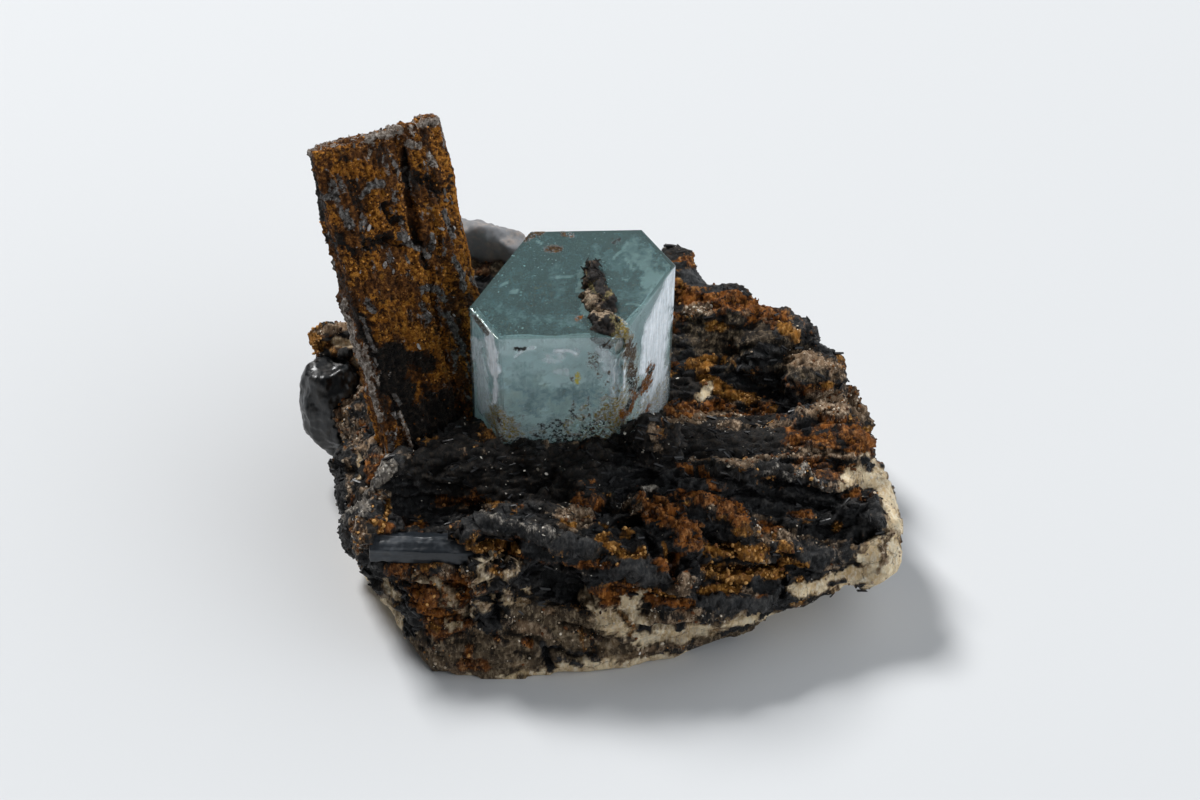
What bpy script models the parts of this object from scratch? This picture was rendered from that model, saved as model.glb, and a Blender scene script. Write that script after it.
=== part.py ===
"""An aquamarine crystal on its matrix, with a rust-coated prism leaning beside it.

Frame: +Z up, metres. The matrix lies on its flat foot at Z = 0, the aquamarine stands about over
the origin, and its broad front face looks towards -Y. Sizes below are in millimetres and reach
metres through mm() or MM.
"""
import math
import random

import bmesh
import bpy
from mathutils import Matrix, Vector, noise

MM = 0.001
GAP = 0.3                # clearance between pieces that touch
SEED = 11
STOCK = 80.0             # side of the cube that a faceted crystal is cut from
LUMP_JITTER = 0.09       # share by which a rough lump's points stray
LUMP_ROUNDING = 0.35     # how far a blocky lump bulges

# ---- aquamarine: an elongated hexagonal prism, flat-topped --------------------------------------
AQUA_TOP = (-2.12, 0.57, 24.3)
AQUA_LENGTH = 19.0
AQUA_TURN = 2.41         # degrees about the prism's own axis
AQUA_LEAN = (3.88, 0.79)  # degrees about X (towards the front) and about Y
AQUA_FACES = {           # direction of each side face in plan (degrees): distance from the axis
    90.0: 6.03,
    30.0: 7.90,
    -30.0: 6.01,
    -90.0: 5.87,
    -150.0: 8.00,
    150.0: 5.67,
}
AQUA_BEVEL = (-58.0, 6.60)    # narrow face that blunts the front right edge
CRUST_LUMPS = (               # brown crust in the broken edge, in the prism's frame
    ((1.6, 0.2, 0.05), (1.0, 3.4, 1.0), 10.0),
    ((2.0, -1.9, 0.0), (2.0, 3.8, 1.6), 14.0),
    ((2.3, -4.3, -0.5), (2.1, 3.0, 2.2), 8.0),
)
AQUA_CHIPS = (                # bare hollows left down the same edge
    ((3.2, -5.2, -1.2), (1.6, 1.8, 2.6), 20.0),
    ((3.3, -5.65, -4.4), (1.1, 1.2, 5.2), 0.0),
)

# ---- standing prism: a flat, rust-coated crystal that leans back and to the left ----------------
PRISM_FOOT = (-16.7, -5.4, 13.3)  # where its front left edge leaves the matrix
PRISM_LENGTH = 23.2
PRISM_BURIED = 2.4
PRISM_LEAN_BACK = 32.0
PRISM_LEAN_LEFT = 13.0
PRISM_TURN = 34.0
PRISM_OUTLINE = (        # cross-section: along its breadth, and back from its front face
    (0.0, 0.0), (0.25, -0.25), (2.2, -0.45), (4.6, -0.35), (6.3, -0.1), (6.75, 0.75), (7.2, 0.15),
    (9.2, 0.5), (11.2, 1.5), (11.3, 3.0), (9.8, 4.3), (6.0, 4.9), (2.4, 4.3), (0.5, 2.6),
)
PRISM_RINGS = 22
PRISM_FLARE = 0.06       # share by which its breadth grows from foot to top
PRISM_WANDER = (         # how far its faces stray, and how often across and along it
    (0.30, 0.35, 0.22),
    (0.22, 0.90, 0.55),
)
PRISM_RAGGED = (0.55, 0.7)    # how uneven its top is, and how often
PRISM_SEAT = 0.15        # extra clearance round its buried foot

# ---- smaller crystals ---------------------------------------------------------------------------
BLACK_FOOT = (-20.8, 6.0, 2.4)    # stubby black crystal at the left back
BLACK_WIDTH = 6.4
BLACK_DEPTH = 5.4
BLACK_LENGTH = 8.6
BLACK_TURN = (-4.0, -9.0, 20.0)
BLACK_SIDES = 9
BLACK_CUTS = 5           # rings of points between its foot and its top
BLACK_DOME = (0.12, 0.88, 0.6)     # part of a sine arch that its outline follows, and how full
BLACK_WANDER = (0.10, 3.1)
LEDGE_FROM = (-17.6, -12.7, 9.2)   # slim black prism that lies along the front ledge
LEDGE_TO = (-9.4, -13.2, 9.3)
LEDGE_HEIGHT = 2.5
LEDGE_DEPTH = 2.6
LEDGE_SIDES = 6
PLATE_CENTRE = (-9.0, 16.4, 12.0)    # grey plate that stands up at the back
PLATE_TURN = (14.0, 12.0, -16.0)
PLATE_FACETS = (         # direction of each face in the plate's frame, and its distance
    ((0.0, -1.0, 0.06), 1.2),
    ((0.05, 1.0, -0.04), 1.2),
    ((0.33, 0.0, 0.94), 6.0),
    ((-0.62, 0.0, 0.80), 6.5),
    ((0.86, 0.0, 0.50), 6.2),
    ((1.0, 0.1, -0.12), 4.7),
    ((-1.0, 0.0, 0.10), 4.75),
    ((0.0, 0.0, -1.0), 4.25),
    ((0.12, -0.70, 0.70), 4.9),
    ((-0.15, 0.72, 0.68), 4.7),
)

# ---- matrix: cross-sections along X, each from the front foot over the top to the back heel -----
SECTIONS = {
    -20.2: ((-6.0, 3.4), (-6.8, 4.6), (-6.6, 6.0), (-5.8, 7.0), (-4.4, 7.8), (-2.0, 8.4),
            (1.0, 8.2), (3.0, 7.6), (6.0, 7.4), (8.0, 7.0), (8.5, 5.5), (6.5, 3.0)),
    -17.6: ((-10.4, 2.4), (-12.0, 4.8), (-13.2, 7.8), (-13.3, 10.3), (-10.0, 10.6), (-5.5, 11.6),
            (1.0, 10.6), (7.0, 11.0), (12.0, 12.6), (14.5, 11.5), (15.0, 7.0), (11.0, 1.6)),
    -13.0: ((-17.9, -0.8), (-16.8, 3.8), (-14.8, 7.2), (-13.8, 10.3), (-10.2, 9.8), (-6.4, 13.0),
            (3.0, 12.4), (9.0, 13.6), (15.0, 15.6), (18.0, 14.4), (18.8, 8.5), (15.0, -0.8)),
    -8.0: ((-18.7, -0.9), (-17.4, 3.6), (-15.2, 7.0), (-13.6, 10.4), (-10.0, 10.0), (-5.9, 12.9),
           (2.0, 12.5), (9.0, 13.6), (14.0, 15.2), (17.6, 14.6), (19.4, 8.0), (16.5, -0.9)),
    -2.0: ((-17.8, -0.9), (-16.8, 3.6), (-15.4, 6.8), (-13.8, 10.2), (-10.6, 11.2), (-5.6, 12.8),
           (2.0, 12.0), (9.0, 13.0), (14.8, 15.4), (18.6, 13.6), (19.6, 7.5), (17.0, -0.9)),
    4.0: ((-16.4, -0.5), (-16.3, 3.2), (-16.4, 5.8), (-14.9, 9.0), (-10.5, 11.0), (-4.6, 12.6),
          (2.6, 9.6), (8.0, 11.8), (14.6, 14.6), (17.6, 12.4), (18.6, 7.0), (16.0, -0.8)),
    10.0: ((-14.7, 0.9), (-15.1, 3.1), (-15.6, 5.4), (-14.2, 7.8), (-9.8, 10.2), (-3.6, 12.0),
           (3.0, 8.0), (7.0, 10.2), (11.8, 12.8), (15.2, 10.8), (16.0, 6.0), (13.4, 0.8)),
    15.0: ((-13.0, 2.6), (-13.6, 3.8), (-13.7, 5.2), (-12.6, 6.8), (-9.2, 9.2), (-2.6, 11.6),
           (3.4, 7.4), (6.4, 9.0), (9.6, 11.0), (12.6, 9.2), (13.2, 5.5), (10.5, 2.0)),
    19.0: ((-11.6, 4.1), (-12.2, 4.7), (-12.2, 5.6), (-11.2, 6.8), (-8.0, 8.6), (-2.4, 11.0),
           (3.2, 6.8), (5.4, 7.2), (7.6, 8.6), (9.8, 7.2), (10.0, 5.0), (8.0, 3.0)),
    21.6: ((-10.3, 4.2), (-11.0, 5.0), (-10.8, 6.0), (-10.2, 7.0), (-7.4, 7.9), (-2.8, 8.2),
           (1.8, 5.8), (3.6, 5.4), (5.0, 5.4), (6.2, 5.0), (6.2, 4.4), (4.6, 3.8)),
}

# Outcrops fused with the matrix: centre, size, turn about Z, and whether they are blocky.
OUTCROPS = {
    "right_hump": ((17.2, -2.2, 9.6), (9.0, 7.4, 5.2), -12.0, False),
    "rust_lump": ((5.3, -11.6, 9.9), (5.6, 3.8, 3.4), -32.0, False),
    "brown_stub": ((4.6, -5.4, 12.2), (2.6, 2.0, 3.4), 10.0, True),
    "black_tip": ((21.6, -8.6, 7.5), (3.2, 2.4, 1.8), 20.0, True),
    "pale_shoulder": ((20.6, -4.4, 6.6), (3.8, 5.6, 3.2), 10.0, True),
    "feldspar_corner": ((20.9, -8.4, 5.4), (4.0, 5.6, 2.8), 8.0, True),
    "rear_knob_a": ((5.2, 14.6, 11.9), (4.6, 3.8, 4.0), 20.0, True),
    "rear_knob_b": ((9.6, 11.6, 11.4), (4.8, 3.6, 4.0), -15.0, True),
    "rear_knob_c": ((14.2, 9.2, 10.1), (5.0, 3.8, 4.2), 30.0, True),
    "rear_knob_d": ((17.2, 6.6, 8.8), (4.0, 3.6, 4.0), 0.0, True),
    "rear_knob_e": ((19.9, 4.8, 6.0), (3.4, 3.0, 2.6), 40.0, True),
    "tan_lump": ((-19.6, 3.4, 7.6), (3.4, 4.2, 3.6), 0.0, False),
    "pale_lump": ((-19.2, 7.4, 9.2), (3.2, 3.0, 3.2), 25.0, False),
    "ochre_nodule": ((-21.3, 9.2, 10.9), (4.4, 3.0, 3.2), 10.0, False),
    "pale_foot": ((-8.0, -15.8, 2.2), (11.0, 3.6, 4.2), 8.0, False),
    "pink_patch": ((-8.2, -14.2, 8.0), (3.2, 2.0, 3.2), 6.0, True),
    "black_tooth": ((-7.9, -16.0, 5.4), (1.7, 1.8, 3.4), 0.0, True),
}

# Long bands and rims: points along each, with its radius there.
BANDS = {
    "arch": (((-12.2, -13.5, 9.8), 0.5), ((-10.0, -12.9, 10.5), 0.7), ((-7.6, -12.5, 11.2), 0.8),
             ((-5.4, -12.9, 11.1), 0.85), ((-2.3, -13.5, 10.5), 0.9), ((0.4, -14.0, 9.9), 1.0),
             ((3.4, -14.8, 9.0), 1.0), ((6.9, -15.7, 7.8), 0.8)),
    "upper_ridge": (((-9.4, -11.6, 11.2), 0.4), ((-6.4, -11.4, 11.6), 0.6), ((-3.4, -11.4, 11.6), 0.6),
                    ((-0.6, -11.2, 11.5), 0.5)),
    "left_rim": (((-17.8, -13.4, 10.1), 0.5), ((-17.8, -11.8, 10.8), 0.55), ((-17.5, -10.4, 11.4), 0.6),
                 ((-17.0, -9.1, 11.9), 0.6), ((-16.2, -7.8, 12.5), 0.65), ((-15.2, -6.7, 12.9), 0.6)),
    "front_rim": (((-17.8, -13.3, 10.2), 0.4), ((-14.6, -13.2, 10.4), 0.4), ((-11.2, -13.2, 10.3), 0.45)),
    "rust_ring": (((6.7, -10.2, 11.0), 0.6), ((8.8, -10.6, 10.8), 0.8), ((10.5, -11.3, 10.0), 0.8),
                  ((11.6, -12.2, 9.2), 0.7), ((13.6, -12.2, 8.6), 0.5)),
    "low_roll": (((4.6, -15.9, 6.6), 0.85), ((7.7, -15.4, 6.1), 1.1), ((10.8, -15.1, 5.8), 1.1),
                 ((13.5, -14.6, 5.4), 0.9), ((16.4, -13.4, 5.4), 0.6)),
    "black_band": (((10.6, -10.4, 9.7), 0.6), ((13.9, -11.6, 8.2), 0.9), ((17.0, -11.7, 7.3), 1.05),
                   ((19.4, -10.8, 7.3), 1.05), ((21.2, -9.3, 7.7), 0.9), ((22.2, -8.3, 8.0), 0.7)),
    "smooth_band": (((7.0, -8.2, 11.9), 0.7), ((12.0, -7.4, 11.6), 0.9), ((16.6, -7.0, 10.6), 0.9),
                    ((20.2, -7.0, 9.2), 0.8)),
    "rib_a": (((3.4, -13.4, 10.2), 0.55), ((4.2, -15.4, 7.8), 0.6)),
    "rib_b": (((5.0, -13.2, 9.9), 0.5), ((5.9, -15.3, 7.5), 0.55)),
    "rib_c": (((6.8, -13.3, 9.5), 0.5), ((7.4, -15.3, 7.2), 0.55)),
    "flank_rod_a": (((-19.8, -3.4, 2.6), 1.2), ((-20.1, -3.0, 9.6), 1.0)),
    "flank_rod_b": (((-18.8, -6.0, 2.0), 1.3), ((-19.8, -5.4, 9.0), 1.1)),
    "flank_rod_c": (((-17.6, -8.8, 1.6), 1.2), ((-19.0, -8.0, 7.8), 1.1)),
    "flank_rod_d": (((-15.9, -11.4, 1.4), 1.2), ((-17.9, -10.6, 8.2), 1.1)),
}

# Hollows cut back into the matrix: centre, size and turn about Z.
HOLLOWS = {
    "ledge_hollow": ((-12.4, -10.1, 11.2), (10.2, 4.8, 4.8), -2.0),
    "arch_pocket": ((-3.2, -16.4, 7.4), (7.4, 3.8, 4.2), -4.0),
    "arch_shadow": ((-7.6, -14.2, 9.7), (3.6, 2.2, 1.4), 0.0),
    "ochre_hollow": ((9.8, -14.9, 8.3), (4.2, 2.6, 2.4), 20.0),
    "ring_hollow": ((9.6, -12.8, 10.6), (3.0, 2.2, 2.6), -20.0),
    "side_notch": ((23.8, 1.0, 7.4), (5.0, 4.6, 3.4), 20.0),
}

# Weathering of the fused matrix: how deep, and how often along X, Y and Z.
LAYERS = (0.42, (0.16, 0.55, 0.75))     # long layers that run left to right
PITS = (0.34, (0.33, 0.33, 0.33))
GRIT = (0.12, (1.3, 1.3, 1.3))

VOXEL = 0.42             # cell of the remesh that fuses the matrix
MATRIX_TRIANGLES = 6600
FOOT_CUT = 60.0          # side of the slab that trims the foot flat
BAND_SEGMENTS = 5        # straight pieces between two points of a band
WELD = 1e-6              # metres within which a rod's loose caps are joined


def mm(point):
    """A point given in millimetres, as a vector in metres."""
    return Vector(point) * MM


def clear_scene():
    """Remove whatever the file opened with."""
    for obj in list(bpy.data.objects):
        bpy.data.objects.remove(obj)


def new_collection(name):
    """A named collection under the scene's own."""
    collection = bpy.data.collections.new(name)
    bpy.context.scene.collection.children.link(collection)
    return collection


def make_material(name, colour, roughness):
    """A plain Principled material."""
    material = bpy.data.materials.new(name)
    material.use_nodes = True
    shader = material.node_tree.nodes["Principled BSDF"]
    shader.inputs["Base Color"].default_value = (*colour, 1.0)
    shader.inputs["Roughness"].default_value = roughness
    shader.inputs["Metallic"].default_value = 0.0
    return material


def add_object(name, bm, collection, material=None):
    """Turn a bmesh that holds metres into a named object."""
    mesh = bpy.data.meshes.new(name)
    bm.to_mesh(mesh)
    bm.free()
    obj = bpy.data.objects.new(name, mesh)
    if material:
        mesh.materials.append(material)
    collection.objects.link(obj)
    return obj


def evaluated_bmesh(obj):
    """The object's mesh with its modifiers applied, as a bmesh."""
    graph = bpy.context.evaluated_depsgraph_get()
    evaluated = obj.evaluated_get(graph)
    mesh = bpy.data.meshes.new_from_object(evaluated)
    bm = bmesh.new()
    bm.from_mesh(mesh)
    bpy.data.meshes.remove(mesh)
    return bm


def turned(degrees_x=0.0, degrees_y=0.0, degrees_z=0.0):
    """A rotation about X, then Y, then Z."""
    about_x = Matrix.Rotation(math.radians(degrees_x), 4, "X")
    about_y = Matrix.Rotation(math.radians(degrees_y), 4, "Y")
    about_z = Matrix.Rotation(math.radians(degrees_z), 4, "Z")
    return about_z @ about_y @ about_x


def stretched(bm, size):
    """Scale a unit shape to a size in millimetres."""
    bmesh.ops.scale(bm, vec=size, verts=bm.verts)


def placed(bm, frame):
    """Take a shape from millimetres in its own frame to metres in the world."""
    bmesh.ops.scale(bm, vec=(MM, MM, MM), verts=bm.verts)
    bmesh.ops.transform(bm, matrix=frame, verts=bm.verts)
    return bm


def faceted(facets, grown=0.0):
    """A crystal cut from a cube: each facet is a direction and its distance, pushed out by grown."""
    bm = bmesh.new()
    bmesh.ops.create_cube(bm, size=STOCK)
    for direction, distance in facets:
        normal = Vector(direction).normalized()
        whole = bm.verts[:] + bm.edges[:] + bm.faces[:]
        cut = bmesh.ops.bisect_plane(bm, geom=whole, plane_co=normal * (distance + grown),
                                     plane_no=normal, clear_outer=True)
        edges = [item for item in cut["geom_cut"] if isinstance(item, bmesh.types.BMEdge)]
        bmesh.ops.contextual_create(bm, geom=edges)
    bmesh.ops.recalc_face_normals(bm, faces=bm.faces)
    return bm


# ---- aquamarine ---------------------------------------------------------------------------------
def aquamarine_frame():
    """Maps the prism's own frame, with its top face at zero, to the world."""
    lean = turned(degrees_y=AQUA_LEAN[1]) @ turned(degrees_x=AQUA_LEAN[0])
    return Matrix.Translation(mm(AQUA_TOP)) @ lean @ turned(degrees_z=AQUA_TURN)


def in_plan(degrees):
    """The level direction at an angle from +X."""
    return math.cos(math.radians(degrees)), math.sin(math.radians(degrees)), 0.0


def aquamarine_bmesh(grown=0.0):
    """The prism with every face pushed outward by grown."""
    sides = [(in_plan(angle), apothem) for angle, apothem in (*AQUA_FACES.items(), AQUA_BEVEL)]
    ends = [((0.0, 0.0, 1.0), 0.0), ((0.0, 0.0, -1.0), AQUA_LENGTH)]
    return placed(faceted(sides + ends, grown), aquamarine_frame())


def rough_solid(centre, size, turn, blocky, grown=0.0, detail=2):
    """A rough lump: a faceted ball or a block, jittered, at a centre in millimetres."""
    rng = random.Random(f"{SEED} {centre}")
    bm = bmesh.new()
    if blocky:
        bmesh.ops.create_cube(bm, size=1.0)
        bmesh.ops.subdivide_edges(bm, edges=bm.edges[:], cuts=1, use_grid_fill=True,
                                  smooth=LUMP_ROUNDING)
    else:
        bmesh.ops.create_icosphere(bm, subdivisions=detail, radius=0.5)
    for vert in bm.verts:
        vert.co *= 1.0 + rng.uniform(-LUMP_JITTER, LUMP_JITTER)
    stretched(bm, [side + 2.0 * grown for side in size])
    return placed(bm, Matrix.Translation(mm(centre)) @ turned(degrees_z=turn))


def subtract(obj, cutters):
    """Cut each cutter from the object with an exact Boolean."""
    for cutter in cutters:
        cut = obj.modifiers.new(f"cut {cutter.name}", "BOOLEAN")
        cut.operation = "DIFFERENCE"
        cut.solver = "EXACT"
        cut.object = cutter


def as_cutter(name, bm, collection):
    """A shape that only cuts others."""
    cutter = add_object(name, bm, collection)
    cutter.hide_render = True
    cutter.display_type = "WIRE"
    return cutter


def edge_lump(part, grown=0.0):
    """One lump or hollow of the broken edge, given in the prism's own frame."""
    centre, size, turn = part
    bm = rough_solid(centre, size, turn, blocky=False, grown=grown, detail=1)
    bmesh.ops.transform(bm, matrix=aquamarine_frame(), verts=bm.verts)
    return bm


def build_aquamarine(collection, cutters, material):
    """The prism, with room for the crust and bare hollows down its front right edge."""
    obj = add_object("aquamarine", aquamarine_bmesh(), collection, material)
    hollows = [edge_lump(part, GAP) for part in CRUST_LUMPS] + [edge_lump(part) for part in AQUA_CHIPS]
    subtract(obj, [as_cutter(f"chip_{i}", bm, cutters) for i, bm in enumerate(hollows)])


# ---- standing prism -----------------------------------------------------------------------------
def standing_frame():
    """Maps breadth, depth and length of the standing prism to the world."""
    back = math.radians(PRISM_LEAN_BACK)
    left = math.radians(PRISM_LEAN_LEFT)
    length = Vector((-math.sin(left), math.cos(left) * math.sin(back), math.cos(left) * math.cos(back)))
    turn = math.radians(PRISM_TURN)
    breadth = Vector((math.cos(turn), math.sin(turn), 0.0))
    breadth = (breadth - length * breadth.dot(length)).normalized()
    depth = length.cross(breadth)
    rows = Matrix((breadth, depth, length)).transposed().to_4x4()
    return Matrix.Translation(mm(PRISM_FOOT)) @ rows


def prism_ring(share, grown):
    """Points of the prism's outline at a share of its length, each face pushed out by grown."""
    along = -PRISM_BURIED + (PRISM_LENGTH + PRISM_BURIED) * share + grown * (2.0 * share - 1.0)
    flare = 1.0 + PRISM_FLARE * max(along, 0.0) / PRISM_LENGTH
    low, high = (Vector(pick(p[i] for p in PRISM_OUTLINE) for i in (0, 1)) for pick in (min, max))
    centre, half = (low + high) / 2.0, (high - low) / 2.0
    height, often = PRISM_RAGGED
    top_third = max(0.0, 3.0 * share - 2.0)
    for u, v in PRISM_OUTLINE:
        point = Vector((u * flare, v))
        stray = sum(depth * noise.noise(Vector((u * across, v * across, along * lengthwise)))
                    for depth, across, lengthwise in PRISM_WANDER)
        room = Vector(grown * (point[i] - centre[i]) / half[i] for i in (0, 1))
        point += (point - centre).normalized() * stray + room
        ragged = height * top_third * noise.noise(Vector((u * often, v * often, 0.5)))
        yield point.x, point.y, along + ragged


def standing_bmesh(grown=0.0):
    """The prism, lofted from its cross-section in rings that wander a little."""
    bm = bmesh.new()
    rings = [[bm.verts.new(point) for point in prism_ring(i / (PRISM_RINGS - 1), grown)]
             for i in range(PRISM_RINGS)]
    skin_rings(bm, rings)
    for ring in (rings[0], rings[-1]):
        bmesh.ops.poke(bm, faces=[bm.faces.new(ring)])
    bmesh.ops.recalc_face_normals(bm, faces=bm.faces)
    return placed(bm, standing_frame())


def build_standing(collection, cutters, material):
    """The prism, cut back where the aquamarine stands against it."""
    obj = add_object("standing_prism", standing_bmesh(), collection, material)
    neighbour = as_cutter("aquamarine_room", aquamarine_bmesh(GAP), cutters)
    subtract(obj, [neighbour])


# ---- smaller crystals ---------------------------------------------------------------------------
def black_bmesh(grown=0.0):
    """Stubby crystal with rounded shoulders: an uneven prism, drawn in at its foot and top."""
    bm = bmesh.new()
    bmesh.ops.create_cone(bm, cap_ends=True, segments=BLACK_SIDES, radius1=0.5, radius2=0.5, depth=1.0)
    upright = [edge for edge in bm.edges if abs(edge.verts[0].co.z - edge.verts[1].co.z) > 0.5]
    bmesh.ops.subdivide_edges(bm, edges=upright, cuts=BLACK_CUTS)
    low, high, fullness = BLACK_DOME
    depth, often = BLACK_WANDER
    for vert in bm.verts:
        rise = vert.co.z + 0.5
        dome = math.sin(math.pi * (low + (high - low) * rise)) ** fullness
        dome *= 1.0 + depth * noise.noise(vert.co * often)
        vert.co.x *= BLACK_WIDTH * dome + 2.0 * grown
        vert.co.y *= BLACK_DEPTH * dome + 2.0 * grown
        vert.co.z = rise * (BLACK_LENGTH + 2.0 * grown) - grown
    return placed(bm, Matrix.Translation(mm(BLACK_FOOT)) @ turned(*BLACK_TURN))


def ledge_bmesh(grown=0.0):
    """Slim prism lying along the ledge, its broad face to the front."""
    start, end = Vector(LEDGE_FROM), Vector(LEDGE_TO)
    along = end - start
    bm = bmesh.new()
    bmesh.ops.create_cone(bm, cap_ends=True, segments=LEDGE_SIDES, radius1=0.5, radius2=0.5, depth=1.0)
    lying = turned(degrees_y=90.0) @ turned(degrees_z=180.0 / LEDGE_SIDES)
    bmesh.ops.transform(bm, matrix=lying, verts=bm.verts)
    stretched(bm, [side + 2.0 * grown for side in (along.length, LEDGE_DEPTH, LEDGE_HEIGHT)])
    facing = along.to_track_quat("X", "Z").to_matrix().to_4x4()
    return placed(bm, Matrix.Translation((start + end) / 2.0 * MM) @ facing)


def plate_bmesh(grown=0.0):
    """Grey plate with a broken, sloping outline."""
    frame = Matrix.Translation(mm(PLATE_CENTRE)) @ turned(*PLATE_TURN)
    return placed(faceted(PLATE_FACETS, grown), frame)


def build_crust(collection, cutters, material):
    """Brown crust lodged in the aquamarine's broken edge, clear of it all round."""
    lumps = [edge_lump(part) for part in CRUST_LUMPS]
    crust = add_object("edge_crust", lumps[0], collection, material)
    for i, bm in enumerate(lumps[1:]):
        join = crust.modifiers.new(f"join {i}", "BOOLEAN")
        join.operation = "UNION"
        join.solver = "EXACT"
        join.object = as_cutter(f"crust_lump_{i}", bm, cutters)


# ---- matrix -------------------------------------------------------------------------------------
def skin_rings(bm, rings):
    """Join each ring of points to the next with a belt of faces."""
    for near, far in zip(rings, rings[1:]):
        count = len(near)
        for i in range(count):
            j = (i + 1) % count
            bm.faces.new((near[i], near[j], far[j], far[i]))


def loft_sections(bm):
    """Skin the cross-sections into one closed body."""
    rings = [[bm.verts.new(mm((x, y, z))) for y, z in points] for x, points in sorted(SECTIONS.items())]
    skin_rings(bm, rings)
    bm.faces.new(rings[0])
    bm.faces.new(rings[-1])
    bmesh.ops.recalc_face_normals(bm, faces=bm.faces)


def band_bmesh(points):
    """A bent rod through the points, thick as given at each."""
    curve = bpy.data.curves.new("band", "CURVE")
    curve.dimensions = "3D"
    curve.bevel_depth = MM
    curve.bevel_resolution = 2
    curve.use_fill_caps = True
    curve.resolution_u = BAND_SEGMENTS
    spline = curve.splines.new("BEZIER")
    spline.bezier_points.add(len(points) - 1)
    for knot, (place, radius) in zip(spline.bezier_points, points):
        knot.co = mm(place)
        knot.radius = radius
        knot.handle_left_type = knot.handle_right_type = "AUTO"
    obj = bpy.data.objects.new("band", curve)
    bpy.context.scene.collection.objects.link(obj)
    bm = evaluated_bmesh(obj)
    bpy.data.objects.remove(obj)
    bpy.data.curves.remove(curve)
    bmesh.ops.remove_doubles(bm, verts=bm.verts, dist=WELD)
    return bm


def append(target, source):
    """Add the faces of one bmesh to another."""
    mesh = bpy.data.meshes.new("part")
    source.to_mesh(mesh)
    source.free()
    target.from_mesh(mesh)
    bpy.data.meshes.remove(mesh)


def weathered(point):
    """How far the rock stands proud at a point: layers that run left to right, broken by pits."""
    height = 0.0
    for octaves, (depth, often) in zip((4, 3, 1), (LAYERS, PITS, GRIT)):
        height += depth * noise.fractal(point * Vector(often), 1.0, 2.0, octaves)
    return height


def weather(bm):
    """Push each point of the fused body along its normal by the weathering."""
    bm.normal_update()
    moves = [vert.normal * (weathered(vert.co / MM) * MM) for vert in bm.verts]
    for vert, move in zip(bm.verts, moves):
        vert.co += move


def fuse(obj):
    """Make one skin of whatever the object holds."""
    remesh = obj.modifiers.new("fuse", "REMESH")
    remesh.mode = "VOXEL"
    remesh.voxel_size = VOXEL * MM


def keep_largest(bm):
    """Drop the crumbs that a cut has left loose."""
    islands = []
    left = set(bm.verts)
    while left:
        stack = [left.pop()]
        island = set(stack)
        while stack:
            for edge in stack.pop().link_edges:
                for vert in edge.verts:
                    if vert not in island:
                        island.add(vert)
                        stack.append(vert)
        left -= island
        islands.append(island)
    islands.sort(key=len)
    crumbs = [vert for island in islands[:-1] for vert in island]
    bmesh.ops.delete(bm, geom=crumbs, context="VERTS")


def rough_body(collection, cutters):
    """The loft, its outcrops and its bands as one weathered skin, hollowed where the rock is."""
    parts = bmesh.new()
    loft_sections(parts)
    for centre, size, turn, blocky in OUTCROPS.values():
        append(parts, rough_solid(centre, size, turn, blocky))
    for points in BANDS.values():
        append(parts, band_bmesh(points))
    rough = add_object("rough_body", parts, collection)
    fuse(rough)
    subtract(rough, [as_cutter(name, rough_solid(*shape, blocky=False), cutters)
                     for name, shape in HOLLOWS.items()])
    fuse(rough)
    fused = evaluated_bmesh(rough)
    bpy.data.objects.remove(rough)
    bmesh.ops.smooth_vert(fused, verts=fused.verts, factor=0.5, use_axis_x=True, use_axis_y=True,
                          use_axis_z=True)
    weather(fused)
    bmesh.ops.triangulate(fused, faces=fused.faces)
    return fused


def build_matrix(collection, cutters, material):
    """The rock, thinned out, trimmed flat at its foot and cut clear of every crystal in it."""
    fused = rough_body(collection, cutters)
    share = MATRIX_TRIANGLES / len(fused.faces)
    body = add_object("whole_body", fused, collection)
    thin = body.modifiers.new("thin", "DECIMATE")
    thin.ratio = share
    slab = bmesh.new()
    bmesh.ops.create_cube(slab, size=FOOT_CUT * MM)
    bmesh.ops.translate(slab, vec=(0.0, 0.0, -FOOT_CUT * MM / 2.0), verts=slab.verts)
    rooms = {
        "foot_slab": slab,
        "aquamarine_socket": aquamarine_bmesh(GAP),
        "standing_socket": standing_bmesh(GAP + PRISM_SEAT),
        "black_socket": black_bmesh(GAP),
        "ledge_socket": ledge_bmesh(GAP),
        "plate_socket": plate_bmesh(GAP),
    }
    subtract(body, [as_cutter(name, bm, cutters) for name, bm in rooms.items()])
    trimmed = evaluated_bmesh(body)
    bpy.data.objects.remove(body)
    keep_largest(trimmed)
    add_object("matrix", trimmed, collection, material)


def main():
    """Model the specimen, piece by piece."""
    clear_scene()
    specimen = new_collection("aquamarine_specimen")
    cutters = new_collection("cutters")
    rock = make_material("weathered rock", (0.10, 0.07, 0.05), 0.85)
    beryl = make_material("aquamarine beryl", (0.55, 0.72, 0.72), 0.12)
    rust = make_material("rust-coated prism", (0.28, 0.14, 0.05), 0.9)
    crust = make_material("brown crust", (0.16, 0.10, 0.06), 0.9)
    schorl = make_material("black tourmaline", (0.02, 0.022, 0.026), 0.35)
    grey = make_material("grey plate", (0.30, 0.29, 0.33), 0.6)
    build_matrix(specimen, cutters, rock)
    build_aquamarine(specimen, cutters, beryl)
    build_crust(specimen, cutters, crust)
    build_standing(specimen, cutters, rust)
    add_object("black_crystal", black_bmesh(), specimen, schorl)
    add_object("ledge_crystal", ledge_bmesh(), specimen, schorl)
    add_object("back_plate", plate_bmesh(), specimen, grey)


main()
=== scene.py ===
"""Looks of an aquamarine specimen: a flat-topped prism on a rusty black matrix.

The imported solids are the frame. Each sub-assembly below refines one of them, in millimetres, and
hands the result back in metres. Colours are linear. Places that belong to the front of the
specimen are given as pixels of the fixed view and cast onto the surface that carries them.
"""
from __future__ import annotations

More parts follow.
